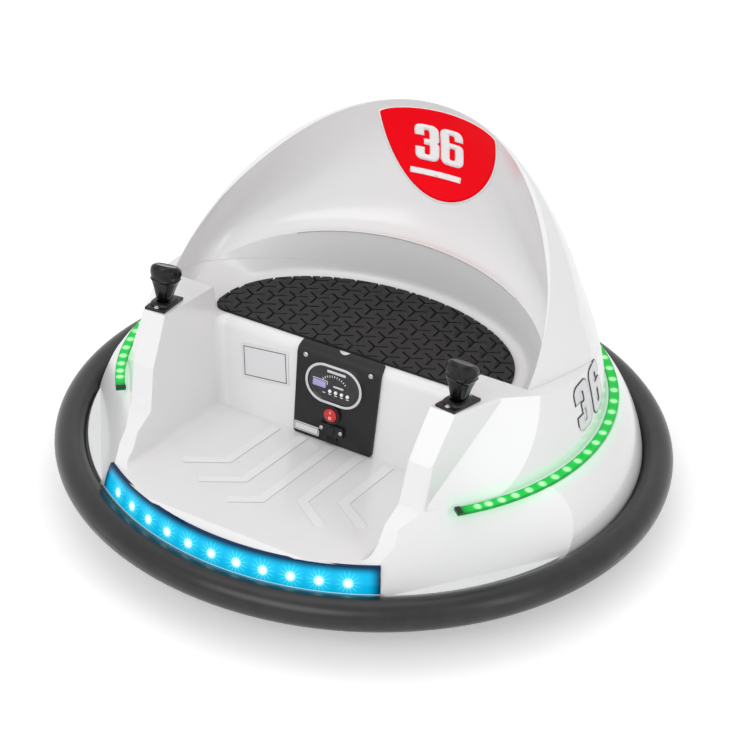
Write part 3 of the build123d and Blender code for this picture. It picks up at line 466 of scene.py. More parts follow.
def rings_to_mesh(rings, around=False):
    """Skins a row of rings of as many points each; around joins the last to the first."""
    bm = bmesh.new()
    rows = [[bm.verts.new(point) for point in ring] for ring in rings]
    pairs = list(zip(rows, rows[1:])) + ([(rows[-1], rows[0])] if around else [])
    for low, high in pairs:
        for i in range(len(low)):
            j = (i + 1) % len(low)
            bm.faces.new((low[i], low[j], high[j], high[i]))
    if not around:
        bm.faces.new(reversed(rows[0]))
        bm.faces.new(rows[-1])
    bmesh.ops.recalc_face_normals(bm, faces=bm.faces)
    return mesh_of(bm)


def turned(profile, steps):
    """Rings of a lathe shape around +Z from rows of radius and height."""
    turns = [2 * math.pi * i / steps for i in range(steps)]
    return [[(r * math.cos(turn), r * math.sin(turn), z) for turn in turns] for r, z in profile]


def placed(mesh, matrix):
    """The mesh moved by the matrix, with its faces still outwards."""
    mesh.transform(matrix)
    if matrix.to_3x3().determinant() < 0:
        mesh.flip_normals()
    return mesh


def joined(meshes):
    """One mesh of several, which stay as separate shells."""
    bm = bmesh.new()
    for mesh in meshes:
        bm.from_mesh(mesh)
    return mesh_of(bm)


def plain_lines(verts, edges=()):
    """A mesh of bare points, or of lines between them."""
    mesh = bpy.data.meshes.new("lines")
    mesh.from_pydata(verts, edges, [])
    return mesh


def frame_matrix(origin, across, out):
    """A place on a surface: local x is across, local z is out of the surface."""
    out = Vector(out).normalized()
    across = Vector(across)
    across = (across - out * across.dot(out)).normalized()
    turn = Matrix((across, out.cross(across), out)).transposed()
    return Matrix.Translation(Vector(origin)) @ turn.to_4x4()


# ---- geometry node trees for what repeats ----

def new_tree(name, inputs):
    """An empty tree with a Geometry and a Material input, and the named inputs between them."""
    tree = bpy.data.node_groups.new(name, "GeometryNodeTree")
    rows = (("Geometry", "Geometry", None),) + tuple(inputs) + (("Material", "Material", None),)
    for label, kind, default in rows:
        socket = tree.interface.new_socket(label, in_out="INPUT", socket_type="NodeSocket" + kind)
        if default is not None:
            socket.default_value = default
    tree.interface.new_socket("Geometry", in_out="OUTPUT", socket_type="NodeSocketGeometry")
    return tree, tree.nodes.new("NodeGroupInput"), tree.nodes.new("NodeGroupOutput")


def end_tree(tree, given, out, result):
    """Makes the result plain, with the tree's material."""
    plain = tree.nodes.new("GeometryNodeRealizeInstances")
    link(tree, result, plain.inputs[0])
    cover = tree.nodes.new("GeometryNodeSetMaterial")
    link(tree, plain.outputs[0], cover.inputs["Geometry"])
    link(tree, given.outputs["Material"], cover.inputs["Material"])
    link(tree, cover.outputs[0], out.inputs["Geometry"])


def copies_on(tree, points, piece, rotation=None):
    """A copy of the piece on each point."""
    copies = tree.nodes.new("GeometryNodeInstanceOnPoints")
    link(tree, points, copies.inputs["Points"])
    link(tree, piece, copies.inputs["Instance"])
    if rotation is not None:
        link(tree, rotation, copies.inputs["Rotation"])
    return copies.outputs[0]


def staggered_grid_tree():
    """Columns of the input piece along x, every other column moved half a row along y."""
    tree, given, out = new_tree("staggered_grid", (
        ("Columns", "Int", 5), ("Rows", "Int", 5), ("Column Pitch", "Float", 0.02),
        ("Row Pitch", "Float", 0.02), ("Start", "Vector", (0, 0, 0))))
    grid = tree.nodes.new("GeometryNodeMeshGrid")
    for axis, count, pitch in (("X", "Columns", "Column Pitch"), ("Y", "Rows", "Row Pitch")):
        span = math_node(tree, "SUBTRACT", given.outputs[count], 1.0)
        link(tree, math_node(tree, "MULTIPLY", span, given.outputs[pitch]), grid.inputs["Size " + axis])
        link(tree, given.outputs[count], grid.inputs["Vertices " + axis])
    place = add_node(tree, "ShaderNodeSeparateXYZ")
    link(tree, tree.nodes.new("GeometryNodeInputPosition").outputs[0], place.inputs[0])
    half = math_node(tree, "MULTIPLY", math_node(tree, "SUBTRACT", given.outputs["Columns"], 1.0), 0.5)
    column = math_node(tree, "ADD", math_node(tree, "DIVIDE", place.outputs["X"],
                                              given.outputs["Column Pitch"]), half)
    odd = math_node(tree, "MODULO", math_node(tree, "ROUND", column), 2.0)
    shift = add_node(tree, "ShaderNodeCombineXYZ")
    link(tree, math_node(tree, "MULTIPLY", math_node(tree, "MULTIPLY", odd, 0.5),
                         given.outputs["Row Pitch"]), shift.inputs["Y"])
    total = add_node(tree, "ShaderNodeVectorMath", operation="ADD")
    link(tree, shift.outputs[0], total.inputs[0])
    link(tree, given.outputs["Start"], total.inputs[1])
    moved = tree.nodes.new("GeometryNodeSetPosition")
    link(tree, grid.outputs["Mesh"], moved.inputs["Geometry"])
    link(tree, total.outputs[0], moved.inputs["Offset"])
    end_tree(tree, given, out, copies_on(tree, moved.outputs[0], given.outputs["Geometry"]))
    return tree


def ring_tree():
    """The input piece repeated around +Z, each copy turned with its place."""
    tree, given, out = new_tree("ring_of_pieces", (("Count", "Int", 8), ("Start", "Float", 0.0)))
    circle = tree.nodes.new("GeometryNodeMeshCircle")
    link(tree, given.outputs["Count"], circle.inputs["Vertices"])
    circle.inputs["Radius"].default_value = 1.0
    gather = tree.nodes.new("GeometryNodeSetPosition")
    link(tree, circle.outputs["Mesh"], gather.inputs["Geometry"])
    step = math_node(tree, "DIVIDE", 2 * math.pi, given.outputs["Count"])
    index = tree.nodes.new("GeometryNodeInputIndex").outputs[0]
    angle = math_node(tree, "MULTIPLY_ADD", index, step, given.outputs["Start"])
    turn = add_node(tree, "ShaderNodeCombineXYZ")
    link(tree, angle, turn.inputs["Z"])
    zero = add_node(tree, "ShaderNodeVectorMath", operation="SCALE")
    zero.inputs["Scale"].default_value = 0.0
    link(tree, tree.nodes.new("GeometryNodeInputPosition").outputs[0], zero.inputs[0])
    link(tree, zero.outputs[0], gather.inputs["Position"])
    end_tree(tree, given, out,
             copies_on(tree, gather.outputs[0], given.outputs["Geometry"], turn.outputs[0]))
    return tree


def scatter_tree():
    """The object called Piece on each vertex of the input, each turned by its own angle."""
    tree, given, out = new_tree("pieces_on_points", (("Piece", "Object", None), ("Seed", "Int", 3)))
    info = tree.nodes.new("GeometryNodeObjectInfo")
    link(tree, given.outputs["Piece"], info.inputs["Object"])
    spin = add_node(tree, "FunctionNodeRandomValue", data_type="FLOAT")
    spin.inputs[3].default_value = math.pi
    link(tree, given.outputs["Seed"], spin.inputs["Seed"])
    turn = add_node(tree, "ShaderNodeCombineXYZ")
    link(tree, spin.outputs[1], turn.inputs["Z"])
    end_tree(tree, given, out,
             copies_on(tree, given.outputs["Geometry"], info.outputs["Geometry"], turn.outputs[0]))
    return tree


def path_tree():
    """A ridge with sloping sides along each line of the input, which lies flat in x and y."""
    tree, given, out = new_tree("ridge_along_path", (
        ("Foot Width", "Float", 0.01), ("Top Width", "Float", 0.006), ("Height", "Float", 0.002)))
    curve = tree.nodes.new("GeometryNodeMeshToCurve")
    link(tree, given.outputs["Geometry"], curve.inputs["Mesh"])
    upright = add_node(tree, "GeometryNodeSetCurveNormal", mode="Z_UP")
    link(tree, curve.outputs[0], upright.inputs["Curve"])
    section = add_node(tree, "GeometryNodeCurvePrimitiveQuadrilateral", mode="TRAPEZOID")
    link(tree, given.outputs["Foot Width"], section.inputs["Bottom Width"])
    link(tree, given.outputs["Top Width"], section.inputs["Top Width"])
    link(tree, given.outputs["Height"], section.inputs["Height"])
    section.inputs["Offset"].default_value = 0.0
    skin = tree.nodes.new("GeometryNodeCurveToMesh")
    link(tree, upright.outputs[0], skin.inputs["Curve"])
    link(tree, section.outputs[0], skin.inputs["Profile Curve"])
    skin.inputs["Fill Caps"].default_value = True
    end_tree(tree, given, out, skin.outputs[0])
    return tree


def evaluated_mesh(thing):
    """The plain mesh that an object's modifiers make; the object is removed."""
    depsgraph = bpy.context.evaluated_depsgraph_get()
    result = bpy.data.meshes.new_from_object(thing.evaluated_get(depsgraph), depsgraph=depsgraph)
    bpy.data.objects.remove(thing)
    return result


def grown(mesh, tree, **values):
    """The plain mesh that a tree makes of a mesh; a modifier input is set by its identifier."""
    source = in_scene("source", mesh)
    modifier = source.modifiers.new(tree.name, "NODES")
    modifier.node_group = tree
    for item in tree.interface.items_tree:
        label = item.name.replace(" ", "_")
        if item.in_out == "INPUT" and label in values:
            modifier[item.identifier] = values[label]
    return evaluated_mesh(source)


GRID = staggered_grid_tree()
RING = ring_tree()
SCATTER = scatter_tree()
RIDGE = path_tree()


# ---- places that several pieces share ----

LEAN = math.radians(5.0)              # the seat's front wall leans back
DECK_SLOPE = math.radians(7.5)        # the armrests fall to the rear
FLOOR_SLOPE = math.radians(6.5)       # the footwell's floor rises to the front
STICK_PIVOT = 9.0 * MM                # the sticks' pivots, below the armrests' surface
PANEL_FACE = 3.4 * MM                 # the panel's outer face, from the wall
SOCKET_RISE = 3.5 * MM                # the socket's face, from the panel
SEAT_EDGE = Vector((0, -60.0, 185.5)) * MM
FLOOR_REAR = Vector((0, -69.8, 73.7)) * MM
SIDES = (("left", 1), ("right", -1))
JOINTS = {row["name"]: row for row in frame["record"]["behaviour"]["joints"]}


def wall_place(x, z, out=0.0):
    """A place on the seat's front wall, from x and height, raised out of the wall."""
    normal = Vector((0, -math.cos(LEAN), math.sin(LEAN)))
    foot = Vector((x, SEAT_EDGE.y - (SEAT_EDGE.z - z) * math.tan(LEAN), z))
    return frame_matrix(foot + normal * out, (1, 0, 0), normal)


def stick_place(side_name):
    """The stick's own frame on the armrest: x across it, y along it, z out of it."""
    joint = JOINTS["stick_%s_tilt" % side_name]
    normal = Vector((0, math.sin(DECK_SLOPE), math.cos(DECK_SLOPE)))
    return frame_matrix(Vector(joint["pos_m"]) + normal * STICK_PIVOT, joint["axis"], normal)


# ---- grooved seat mat ----

def groove_cutter(arm, width, depth, top):
    """A flat three-armed star as a prism, sunk by depth below top."""
    outline = []
    for turn_deg in (30, 150, 270):
        turn = math.radians(turn_deg)
        along = Vector((math.cos(turn), math.sin(turn)))
        side = Vector((-along.y, along.x)) * width / 2
        outline += [along * arm - side, along * arm + side]
        notch = math.radians(turn_deg + 60)
        outline.append(Vector((math.cos(notch), math.sin(notch))) * width / math.sqrt(3))
    return rings_to_mesh([[(p.x, p.y, z) for p in outline] for z in (top - depth, top + depth)])


def merged_copy(node):
    """A CAD node's mesh as one connected skin."""
    bm = opened(NODES[node].data)
    bmesh.ops.remove_doubles(bm, verts=bm.verts, dist=1e-6)
    return mesh_of(bm)


def cut_by(mesh, cutter_mesh):
    """The mesh less the cutter."""
    target, cutter = in_scene("target", mesh), in_scene("cutter", cutter_mesh)
    cut = target.modifiers.new("cut", "BOOLEAN")
    cut.operation, cut.solver, cut.object = "DIFFERENCE", "EXACT", cutter
    result = evaluated_mesh(target)
    bpy.data.objects.remove(cutter)
    return result


STAR_ARM, STAR_WIDTH, STAR_DEPTH = 14.8 * MM, 2.5 * MM, 2.0 * MM
STAR_PITCH_X, STAR_PITCH_Y = 22.3 * MM, 23.6 * MM
STAR_COLUMNS, STAR_ROWS = 19, 8
STAR_AT = Vector((-45.1, 44.5, 0)) * MM       # one star, two columns and half a row off the middle


def grooved_mat():
    """The seat's mat with its staggered three-armed grooves."""
    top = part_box("seat_pad")[1].z
    star = groove_cutter(STAR_ARM, STAR_WIDTH, STAR_DEPTH, top)
    middle = STAR_AT + Vector((2 * STAR_PITCH_X, -STAR_PITCH_Y / 2, 0))
    stars = grown(star, GRID, Columns=STAR_COLUMNS, Rows=STAR_ROWS, Column_Pitch=STAR_PITCH_X,
                  Row_Pitch=STAR_PITCH_Y, Start=tuple(middle))
    mat = cut_by(merged_copy("seat_pad"), stars)
    piece = finish_piece("grooved_mat", mat, FINISH["mat_foam"])
    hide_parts("seat_pad")


# ---- driving sticks ----

KNOB_FOOT, KNOB_HEIGHT = 8.5 * MM, 38.0 * MM
KNOB = (                              # share of the height, radius across and along, mm
    (0.00, 7.6, 7.4), (0.02, 8.7, 8.4), (0.06, 9.0, 8.8), (0.30, 11.4, 10.6), (0.54, 14.6, 12.8),
    (0.585, 15.9, 13.7), (0.61, 16.4, 14.0), (0.63, 15.9, 13.5), (0.66, 16.5, 14.0),
    (0.78, 17.5, 14.9), (0.88, 17.1, 14.5), (0.94, 15.9, 13.3), (0.985, 13.8, 11.4),
    (1.00, 12.6, 10.4), (0.985, 11.6, 9.4), (0.975, 6.0, 5.0), (0.975, 0.5, 0.5))
KNOB_TOP_SLOPE = math.radians(15)     # the head's top falls to the rear
HOLLOW_TURN = math.radians(50)        # the thumb hollow, from the front towards +X
HOLLOW_HALF_W, HOLLOW_HALF_H, HOLLOW_DEPTH = 9.5 * MM, 5.0 * MM, 2.0 * MM
SHAFT_R, PIN_R, PIN_HALF = 4.5 * MM, 2.5 * MM, 9.3 * MM


def squared_ring(across, along, z, roundness, points):
    """A ring between an ellipse, at roundness 1, and a rectangle, towards 0."""
    ring = []
    for i in range(points):
        turn = 2 * math.pi * i / points
        c, s = math.cos(turn), math.sin(turn)
        ring.append(Vector((math.copysign(abs(c) ** roundness, c) * across,
                            math.copysign(abs(s) ** roundness, s) * along, z)))
    return ring


def knob_ring(share, across, along):
    """One section of the knob, with flatter sides below its ridge."""
    roundness = 2.0 / (3.0 if share < 0.6 else 2.3)
    return squared_ring(across * MM, along * MM, KNOB_FOOT + share * KNOB_HEIGHT, roundness, 72)


def knob_sections():
    """The knob's sections with more of them between the named ones."""
    steps = 4
    for low, high in zip(KNOB, KNOB[1:]):
        for step in range(steps):
            part = step / steps
            yield [a + (b - a) * part for a, b in zip(low, high)]
    yield KNOB[-1]


def part_way(value, start, end):
    """0 at start and before it, 1 at end and past it."""
    return max(0.0, min(1.0, (value - start) / (end - start)))


def shaped_head(point):
    """Slopes the head's top to the rear and sinks the oval thumb hollow in its side."""
    middle = KNOB_FOOT + 0.80 * KNOB_HEIGHT
    front = Vector((math.sin(HOLLOW_TURN), -math.cos(HOLLOW_TURN), 0))
    side = Vector((-front.y, front.x, 0))
    flat = Vector((point.x, point.y, 0))
    moved = point.copy()
    if flat.dot(front) > 0:
        far = math.hypot(flat.dot(side) / HOLLOW_HALF_W, (point.z - middle) / HOLLOW_HALF_H)
        moved -= front * (HOLLOW_DEPTH * part_way(far, 1.12, 0.82))
    lift = part_way((point.z - KNOB_FOOT) / KNOB_HEIGHT, 0.62, 0.92)
    moved.z -= lift * (point.y - 1 * MM) * math.tan(KNOB_TOP_SLOPE)
    return moved


def stick(side_name):
    """A stick with its knob, its shaft and the pin that it tilts on."""
    knob = rings_to_mesh([[shaped_head(p) for p in knob_ring(*section)] for section in knob_sections()])
    shaft = rings_to_mesh(turned(((SHAFT_R, -STICK_PIVOT - 3 * MM), (SHAFT_R, KNOB_FOOT + 2 * MM)), 32))
    pin = rings_to_mesh(turned(((PIN_R, -PIN_HALF), (PIN_R, PIN_HALF)), 20))
    pin.transform(Matrix.Translation((0, 0, -STICK_PIVOT)) @ Matrix.Rotation(math.pi / 2, 4, "Y"))
    whole = placed(joined([knob, shaft, pin]), stick_place(side_name))
    piece = finish_piece("driving_stick_" + side_name, whole, FINISH["knob_black"],
                         "stick_" + side_name, 42)
    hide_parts("joystick_" + side_name)


STICK_PLATE_T = 3.0 * MM
COLLAR = ((12.0, 17.0, 0.0), (11.4, 16.2, 2.2), (10.6, 15.2, 2.8), (6.4, 10.8, 2.8), (6.0, 10.4, 0.0))


def stick_collar(side_name):
    """The sloping block around the stick's slot, on the plate."""
    rings = [squared_ring(across * MM, along * MM, STICK_PLATE_T + rise * MM, 0.5, 64)
             for across, along, rise in COLLAR]
    mesh = placed(rings_to_mesh(rings, around=True), stick_place(side_name))
    finish_piece("stick_collar_" + side_name, mesh, FINISH["black_plastic"])


# ---- screws ----

SCREW_DOME = ((1.0, 0.0), (1.0, 0.25), (0.86, 0.42), (0.60, 0.52), (0.50, 0.53), (0.16, 0.54),
              (0.02, 0.54))           # radius and height, in radii of the head
SLOT_REACH, SLOT_HALF_W, SLOT_DEPTH = 0.58, 0.13, 0.3


def cross_screw(radius):
    """A domed head with a sunk cross."""
    rings = []
    for ring in turned(SCREW_DOME, 32):
        share = math.hypot(*ring[0][:2])
        sunk = [share < SLOT_REACH and min(abs(x), abs(y)) < SLOT_HALF_W for x, y, _ in ring]
        rings.append([(x * radius, y * radius, (z - SLOT_DEPTH * in_slot) * radius)
                      for (x, y, z), in_slot in zip(ring, sunk)])
    return rings_to_mesh(rings)


def screws(name, points, radius, matrix):
    """Screws at points of x and y in the plane that the matrix places."""
    head = in_scene("head", cross_screw(radius))
    spots = plain_lines([(x, y, 0) for x, y in points])
    heads = grown(spots, SCATTER, Piece=head, Seed=3, Material=FINISH["axle_steel"])
    bpy.data.objects.remove(head)
    finish_piece(name, placed(heads, matrix), FINISH["axle_steel"], sharp_deg=30)


def all_screws():
    """Screws of the stick plates, the panel and the socket."""
    lift = Matrix.Translation((0, 0, STICK_PLATE_T))
    for side_name, _ in SIDES:
        points = [(0.6 * MM, -19.8 * MM), (0.6 * MM, 17.8 * MM)]
        screws("plate_screws_" + side_name, points, 2.9 * MM, stick_place(side_name) @ lift)
    foot = 100.0                      # any height on the wall, mm
    for name, radius, out, rows in (("panel_screws", 3.0, 0.0, ((-45.0, 175.7), (39.1, 175.3))),
                                    ("socket_screws", 2.5, SOCKET_RISE, ((-16.0, 93.4), (9.0, 93.4)))):
        points = [(x * MM, (z - foot) * MM / math.cos(LEAN)) for x, z in rows]
        screws(name, points, radius * MM, wall_place(0, foot * MM, PANEL_FACE + out))


# ---- stickers laid on the curved body ----

def body_surface():
    """A search tree over the two white mouldings."""
    verts, faces = [], []
    for node in ("backrest_hood", "lower_body"):
        mesh = NODES[node].data
        start = len(verts)
        verts += [v.co.copy() for v in mesh.vertices]
        faces += [[start + i for i in face.vertices] for face in mesh.polygons]
    return BVHTree.FromPolygons(verts, faces)


def refined(bm, limit):
    """Cuts faces until no edge is longer than the limit."""
    bmesh.ops.triangulate(bm, faces=bm.faces)
    for _ in range(7):
        long_edges = [edge for edge in bm.edges if edge.calc_length() > limit]
        if not long_edges:
            break
        bmesh.ops.subdivide_edges(bm, edges=long_edges, cuts=1)
        bmesh.ops.triangulate(bm, faces=[face for face in bm.faces if len(face.verts) > 3])


STICKER_T = 0.25 * MM


def laid(name, flat, matrix, surface, lift, material):
    """Drops a flat mesh along its own -z onto the body, as a thin sticker."""
    bm = opened(flat)
    refined(bm, 5.0 * MM)
    down = -(matrix.to_3x3() @ Vector((0, 0, 1)))
    for vert in bm.verts:
        start = matrix @ vert.co
        place, normal, _, _ = surface.ray_cast(start, down)
        if place is None:
            place, normal, _, _ = surface.find_nearest(start)
        if normal.dot(down) > 0:
            normal = -normal
        vert.co = place + normal * lift
    bmesh.ops.recalc_face_normals(bm, faces=bm.faces)
    if sum(face.normal.dot(down) * face.calc_area() for face in bm.faces) > 0:
        bmesh.ops.reverse_faces(bm, faces=bm.faces)
    piece = finish_piece(name, mesh_of(bm), material)
    solid = piece.modifiers.new("thickness", "SOLIDIFY")
    solid.thickness, solid.offset = STICKER_T, -1.0


def flat_outline(points):
    """One flat face from its corners."""
    bm = bmesh.new()
    bm.faces.new([bm.verts.new((x, y, 0)) for x, y in points])
    return mesh_of(bm)


DIGIT_HEIGHT = 1.78                   # in widths of a digit
DIGITS = {                            # x, y and corner radius, in widths; holes follow outlines
    "3": (((0, 0.62, 0), (0, 0, 0.30), (1, 0, 0.30), (1, 0.84, 0.16), (0.90, 0.90, 0), (1, 0.96, 0.16),
           (1, 1.78, 0.30), (0, 1.78, 0.30), (0, 1.20, 0), (0.38, 1.20, 0), (0.38, 1.50, 0.08),
           (0.60, 1.50, 0.08), (0.60, 1.05, 0.06), (0.36, 1.05, 0), (0.36, 0.76, 0),
           (0.60, 0.76, 0.06), (0.60, 0.28, 0.08), (0.38, 0.28, 0.08), (0.38, 0.62, 0)),),
    "6": (((0, 0, 0.30), (1, 0, 0.30), (1, 1.10, 0.22), (0.38, 1.10, 0), (0.38, 1.50, 0.08),
           (0.62, 1.50, 0.08), (0.62, 1.26, 0), (1, 1.26, 0), (1, 1.78, 0.30), (0, 1.78, 0.30)),
          ((0.38, 0.28, 0.08), (0.38, 0.84, 0.08), (0.62, 0.84, 0.08), (0.62, 0.28, 0.08)))}


def rounded(corners):
    """A closed outline with its corners rounded, as flat points."""
    points = []
    for i, (x, y, radius) in enumerate(corners):
        here = Vector((x, y))
        if not radius:
            points.append(here)
            continue
        before = (Vector(corners[i - 1][:2]) - here).normalized()
        after = (Vector(corners[(i + 1) % len(corners)][:2]) - here).normalized()
        half_angle = before.angle(after) / 2
        reach = radius / math.tan(half_angle)
        middle = here + (before + after).normalized() * (radius / math.sin(half_angle))
        start, end = here + before * reach - middle, here + after * reach - middle
        sweep = start.angle_signed(end)
        for step in range(7):
            turned_by = Matrix.Rotation(-sweep * step / 6, 2)
            points.append(middle + turned_by @ start)
    return points


def grown_outline(points, grow):
    """The outline moved outwards by grow; a hole runs the other way and closes."""
    moved = []
    for i, here in enumerate(points):
        before, after = points[i - 1], points[(i + 1) % len(points)]
        first, second = (here - before).normalized(), (after - here).normalized()
        normal = Vector((first.y, -first.x)) + Vector((second.y, -second.x))
        if normal.length < 1e-6:
            normal = Vector((first.y, -first.x))
        normal.normalize()
        reach = grow / max(0.5, normal.dot(Vector((first.y, -first.x))))
        moved.append(here + normal * reach)
    return moved


def figures(height, width, grow=0.0, gap=0.06):
    """The number 36 as a flat mesh about its middle, metres; grow widens its strokes."""
    scale = height / DIGIT_HEIGHT
    squeeze = width / ((2 + gap) * scale)
    bm = bmesh.new()
    for digit, start in (("3", -1 - gap / 2), ("6", gap / 2)):
        for corners in DIGITS[digit]:
            points = [Vector(((x + start) * scale * squeeze, (y - DIGIT_HEIGHT / 2) * scale))
                      for x, y in rounded(corners)]
            verts = [bm.verts.new((*p, 0)) for p in grown_outline(points, grow)]
            for i, vert in enumerate(verts):
                bm.edges.new((verts[i - 1], vert))
    bmesh.ops.triangle_fill(bm, use_beauty=True, use_dissolve=False, edges=bm.edges)
    return mesh_of(bm)


SHIELD_HALF_W, SHIELD_DROP, SHIELD_CROWN, SHIELD_EDGE = 75.2 * MM, 101.0 * MM, 13.0 * MM, 2.3 * MM
SHIELD_LAYERS = {"shield_edge": 0.35 * MM, "shield_face": 0.6 * MM, "shield_number": 0.85 * MM,
                 "shield_bar": 0.85 * MM}


def shield_outline(grow):
    """A half ellipse below a shallow arc."""
    half_w, drop, crown = SHIELD_HALF_W + grow, SHIELD_DROP + grow, SHIELD_CROWN + grow * 0.3
    points = [(half_w * math.cos(t), -drop * math.sin(t) ** 0.97)
              for t in (math.pi * i / 48 for i in range(49))]
    top = [(-half_w * math.cos(t), crown * math.sin(t) ** 1.15)
           for t in (math.pi * i / 32 for i in range(1, 32))]
    return flat_outline(points + top)


def shield(surface):
    """The red shield with its pale edge, the number and a plain bar."""
    matrix = frame_matrix((5.5 * MM, 0.0, 0.3985), (1, 0, 0.03), (0, -1, 0))
    bar_w, bar_h = 66.0 * MM, 7.0 * MM
    bar = [(x * bar_w / 2, y * bar_h / 2) for x, y in ((-1, -1), (1, -1), (1, 1), (-1, 1))]
    for name, flat, at, colour, slot in (
            ("shield_edge", shield_outline(SHIELD_EDGE), (0, 0), "pale", "label_white"),
            ("shield_face", shield_outline(0.0), (0, 0), "red", "switch_red"),
            ("shield_number", figures(47 * MM, 63 * MM), (-6.0, -33.0), "pale", "label_white"),
            ("shield_bar", flat_outline(bar), (-10.0, -71.0), "pale", "label_white")):
        place = matrix @ Matrix.Translation((at[0] * MM, at[1] * MM, 0))
        laid(name, flat, place, surface, SHIELD_LAYERS[name], STICKER[colour])


def side_numbers(surface):
    """An outlined number on each side of the lower body."""
    for side_name, side in SIDES:
        across = (0, side, side * math.tan(math.radians(1)))
        matrix = frame_matrix((side * 0.4, 25 * MM, 0.1815), across, (side, 0, 0))
        for layer, grow, colour, lift in (("outline", 1.6, "dark", 0.5), ("face", 0.4, "grey", 1.2)):
            flat = figures(50 * MM, 76 * MM, grow * MM, 0.22)
            laid("side_number_%s_%s" % (layer, side_name), flat, matrix, surface, lift * MM,
                 STICKER[colour])


# ---- small parts of the control panel ----

def block(width, height, thick, corner, at=(0, 0, 0), bevel=0.0):
    """A plate with round corners in the local plane, at = x, y and z of its back; all in mm."""
    width, height, thick, corner, bevel = [size * MM for size in (width, height, thick, corner, bevel)]
    steps = 5
    outline = []
    for cx, cy, start in ((1, 1, 0), (-1, 1, 90), (-1, -1, 180), (1, -1, 270)):
        for i in range(steps + 1):
            turn = math.radians(start + 90 * i / steps)
            outline.append((cx * (width / 2 - corner) + corner * math.cos(turn),
                            cy * (height / 2 - corner) + corner * math.sin(turn)))
    x0, y0, z0 = Vector(at) * MM
    rings = [[(x0 + x, y0 + y, z0) for x, y in outline],
             [(x0 + x, y0 + y, z0 + thick - bevel) for x, y in outline]]
    if bevel:
        shrink_x, shrink_y = 1 - 2 * bevel / width, 1 - 2 * bevel / height
        rings.append([(x0 + x * shrink_x, y0 + y * shrink_y, z0 + thick) for x, y in outline])
    return rings_to_mesh(rings)


def button(radius, height, at=(0, 0, 0)):
    """A round button with a soft edge, in mm."""
    rows = ((1.0, 0.0), (1.0, 0.6), (0.92, 0.85), (0.75, 1.0), (0.02, 1.0))
    mesh = rings_to_mesh(turned([(radius * r * MM, height * z * MM) for r, z in rows], 24))
    return placed(mesh, Matrix.Translation(Vector(at) * MM))


def panel_piece(name, meshes, matrix, material):
    """Small flat parts of one material, laid on the panel."""
    finish_piece(name, placed(joined(meshes), matrix), material)


def part_dial(tick, count, low):
    """Ticks around a dial without what lies below the low line."""
    bm = opened(grown(tick, RING, Count=count, Start=0.0, Material=STICKER["pale"]))
    below = [vert for vert in bm.verts if vert.co.y < low * MM]
    bmesh.ops.delete(bm, geom=below, context="VERTS")
    return mesh_of(bm)


def player_details():
    """A small display, four buttons, a dial scale and two slots, without words."""
    matrix = wall_place(-4.9 * MM, 0.1502, PANEL_FACE + 2.0 * MM)
    pale = STICKER["pale"]
    window = block(17, 8, 0.5, 1, (-19, -3, 0), 0.2)
    panel_piece("player_display", [window], matrix, STICKER["display"])
    trim = [block(20, 1.0, 0.6, 0.4, (-18, 2.6, 0)), block(1.0, 5.0, 0.6, 0.4, (-8.6, 0.4, 0)),
            block(24, 3.2, 0.4, 0.8, (2, 15.5, 0)), block(13, 2.2, 0.7, 0.5, (6, -1.5, 0))]
    panel_piece("player_trim", trim, matrix, FINISH["bright_trim"])
    buttons = [button(2.1, 1.5, (-4.5 + 7.6 * i, -8.6, 0)) for i in range(4)]
    panel_piece("player_buttons", buttons, matrix, pale)
    marks = [block(3.6, 0.9, 0.3, 0.3, (-12.1 + 7.6 * i, -12.6, 0)) for i in range(5)]
    panel_piece("player_marks", marks, matrix, pale)
    ticks = placed(part_dial(block(0.7, 2.6, 0.3, 0.2, (0, 20.0, 0)), 40, 11.5),
                   Matrix.Translation((0, -9.5 * MM, 0)))
    panel_piece("player_scale", [ticks], matrix, pale)


def switch_marks():
    """The plain line and ring that stand for on and off."""
    matrix = wall_place(-5.6 * MM, 0.1125, PANEL_FACE + 4.5 * MM)
    thick = 0.15
    line = block(0.9, 3.4, thick, 0.3, (0, 3.4, 0))
    outer, inner = 1.9, 1.2
    section = ((outer, 0), (outer, thick), (inner, thick), (inner, 0))
    ring = rings_to_mesh(turned([(r * MM, z * MM) for r, z in section], 24), around=True)
    ring.transform(Matrix.Translation((0, -3.6 * MM, 0)))
    panel_piece("switch_marks", [line, ring], matrix, STICKER["pale"])


def socket_details():
    """The cap over the charging pin and the ribs of the flap's hinge."""
    matrix = wall_place(-3.5 * MM, 0.093, PANEL_FACE + SOCKET_RISE)
    ribs = [block(11, 0.8, 0.7, 0.3, (0, -8.2 - 1.7 * i, 0)) for i in range(4)]
    panel_piece("socket_cap", [button(4.6, 1.6)] + ribs, matrix, FINISH["black_plastic"])


def label_border():
    """A thin printed frame on the blank label, and on the blank tag."""
    turn = Matrix.Rotation(math.radians(6.5), 4, "Z")
    rows = (("label_border", 57.0, 37.0, 0.9, wall_place(-99 * MM, 0.144, 1.0 * MM) @ turn),
            ("tag_border", 31.0, 8.4, 0.5, wall_place(-36.6 * MM, 0.084, PANEL_FACE + 1.0 * MM)))
    for name, width, height, line, matrix in rows:
        bars = []
        for side in (1, -1):
            bars.append(block(width, line, 0.12, 0.2, (0, side * (height - line) / 2, 0)))
            bars.append(block(line, height, 0.12, 0.2, (side * (width - line) / 2, 0, 0)))
        panel_piece(name, bars, matrix, STICKER["dark"])


# ---- ribs in the footwell ----

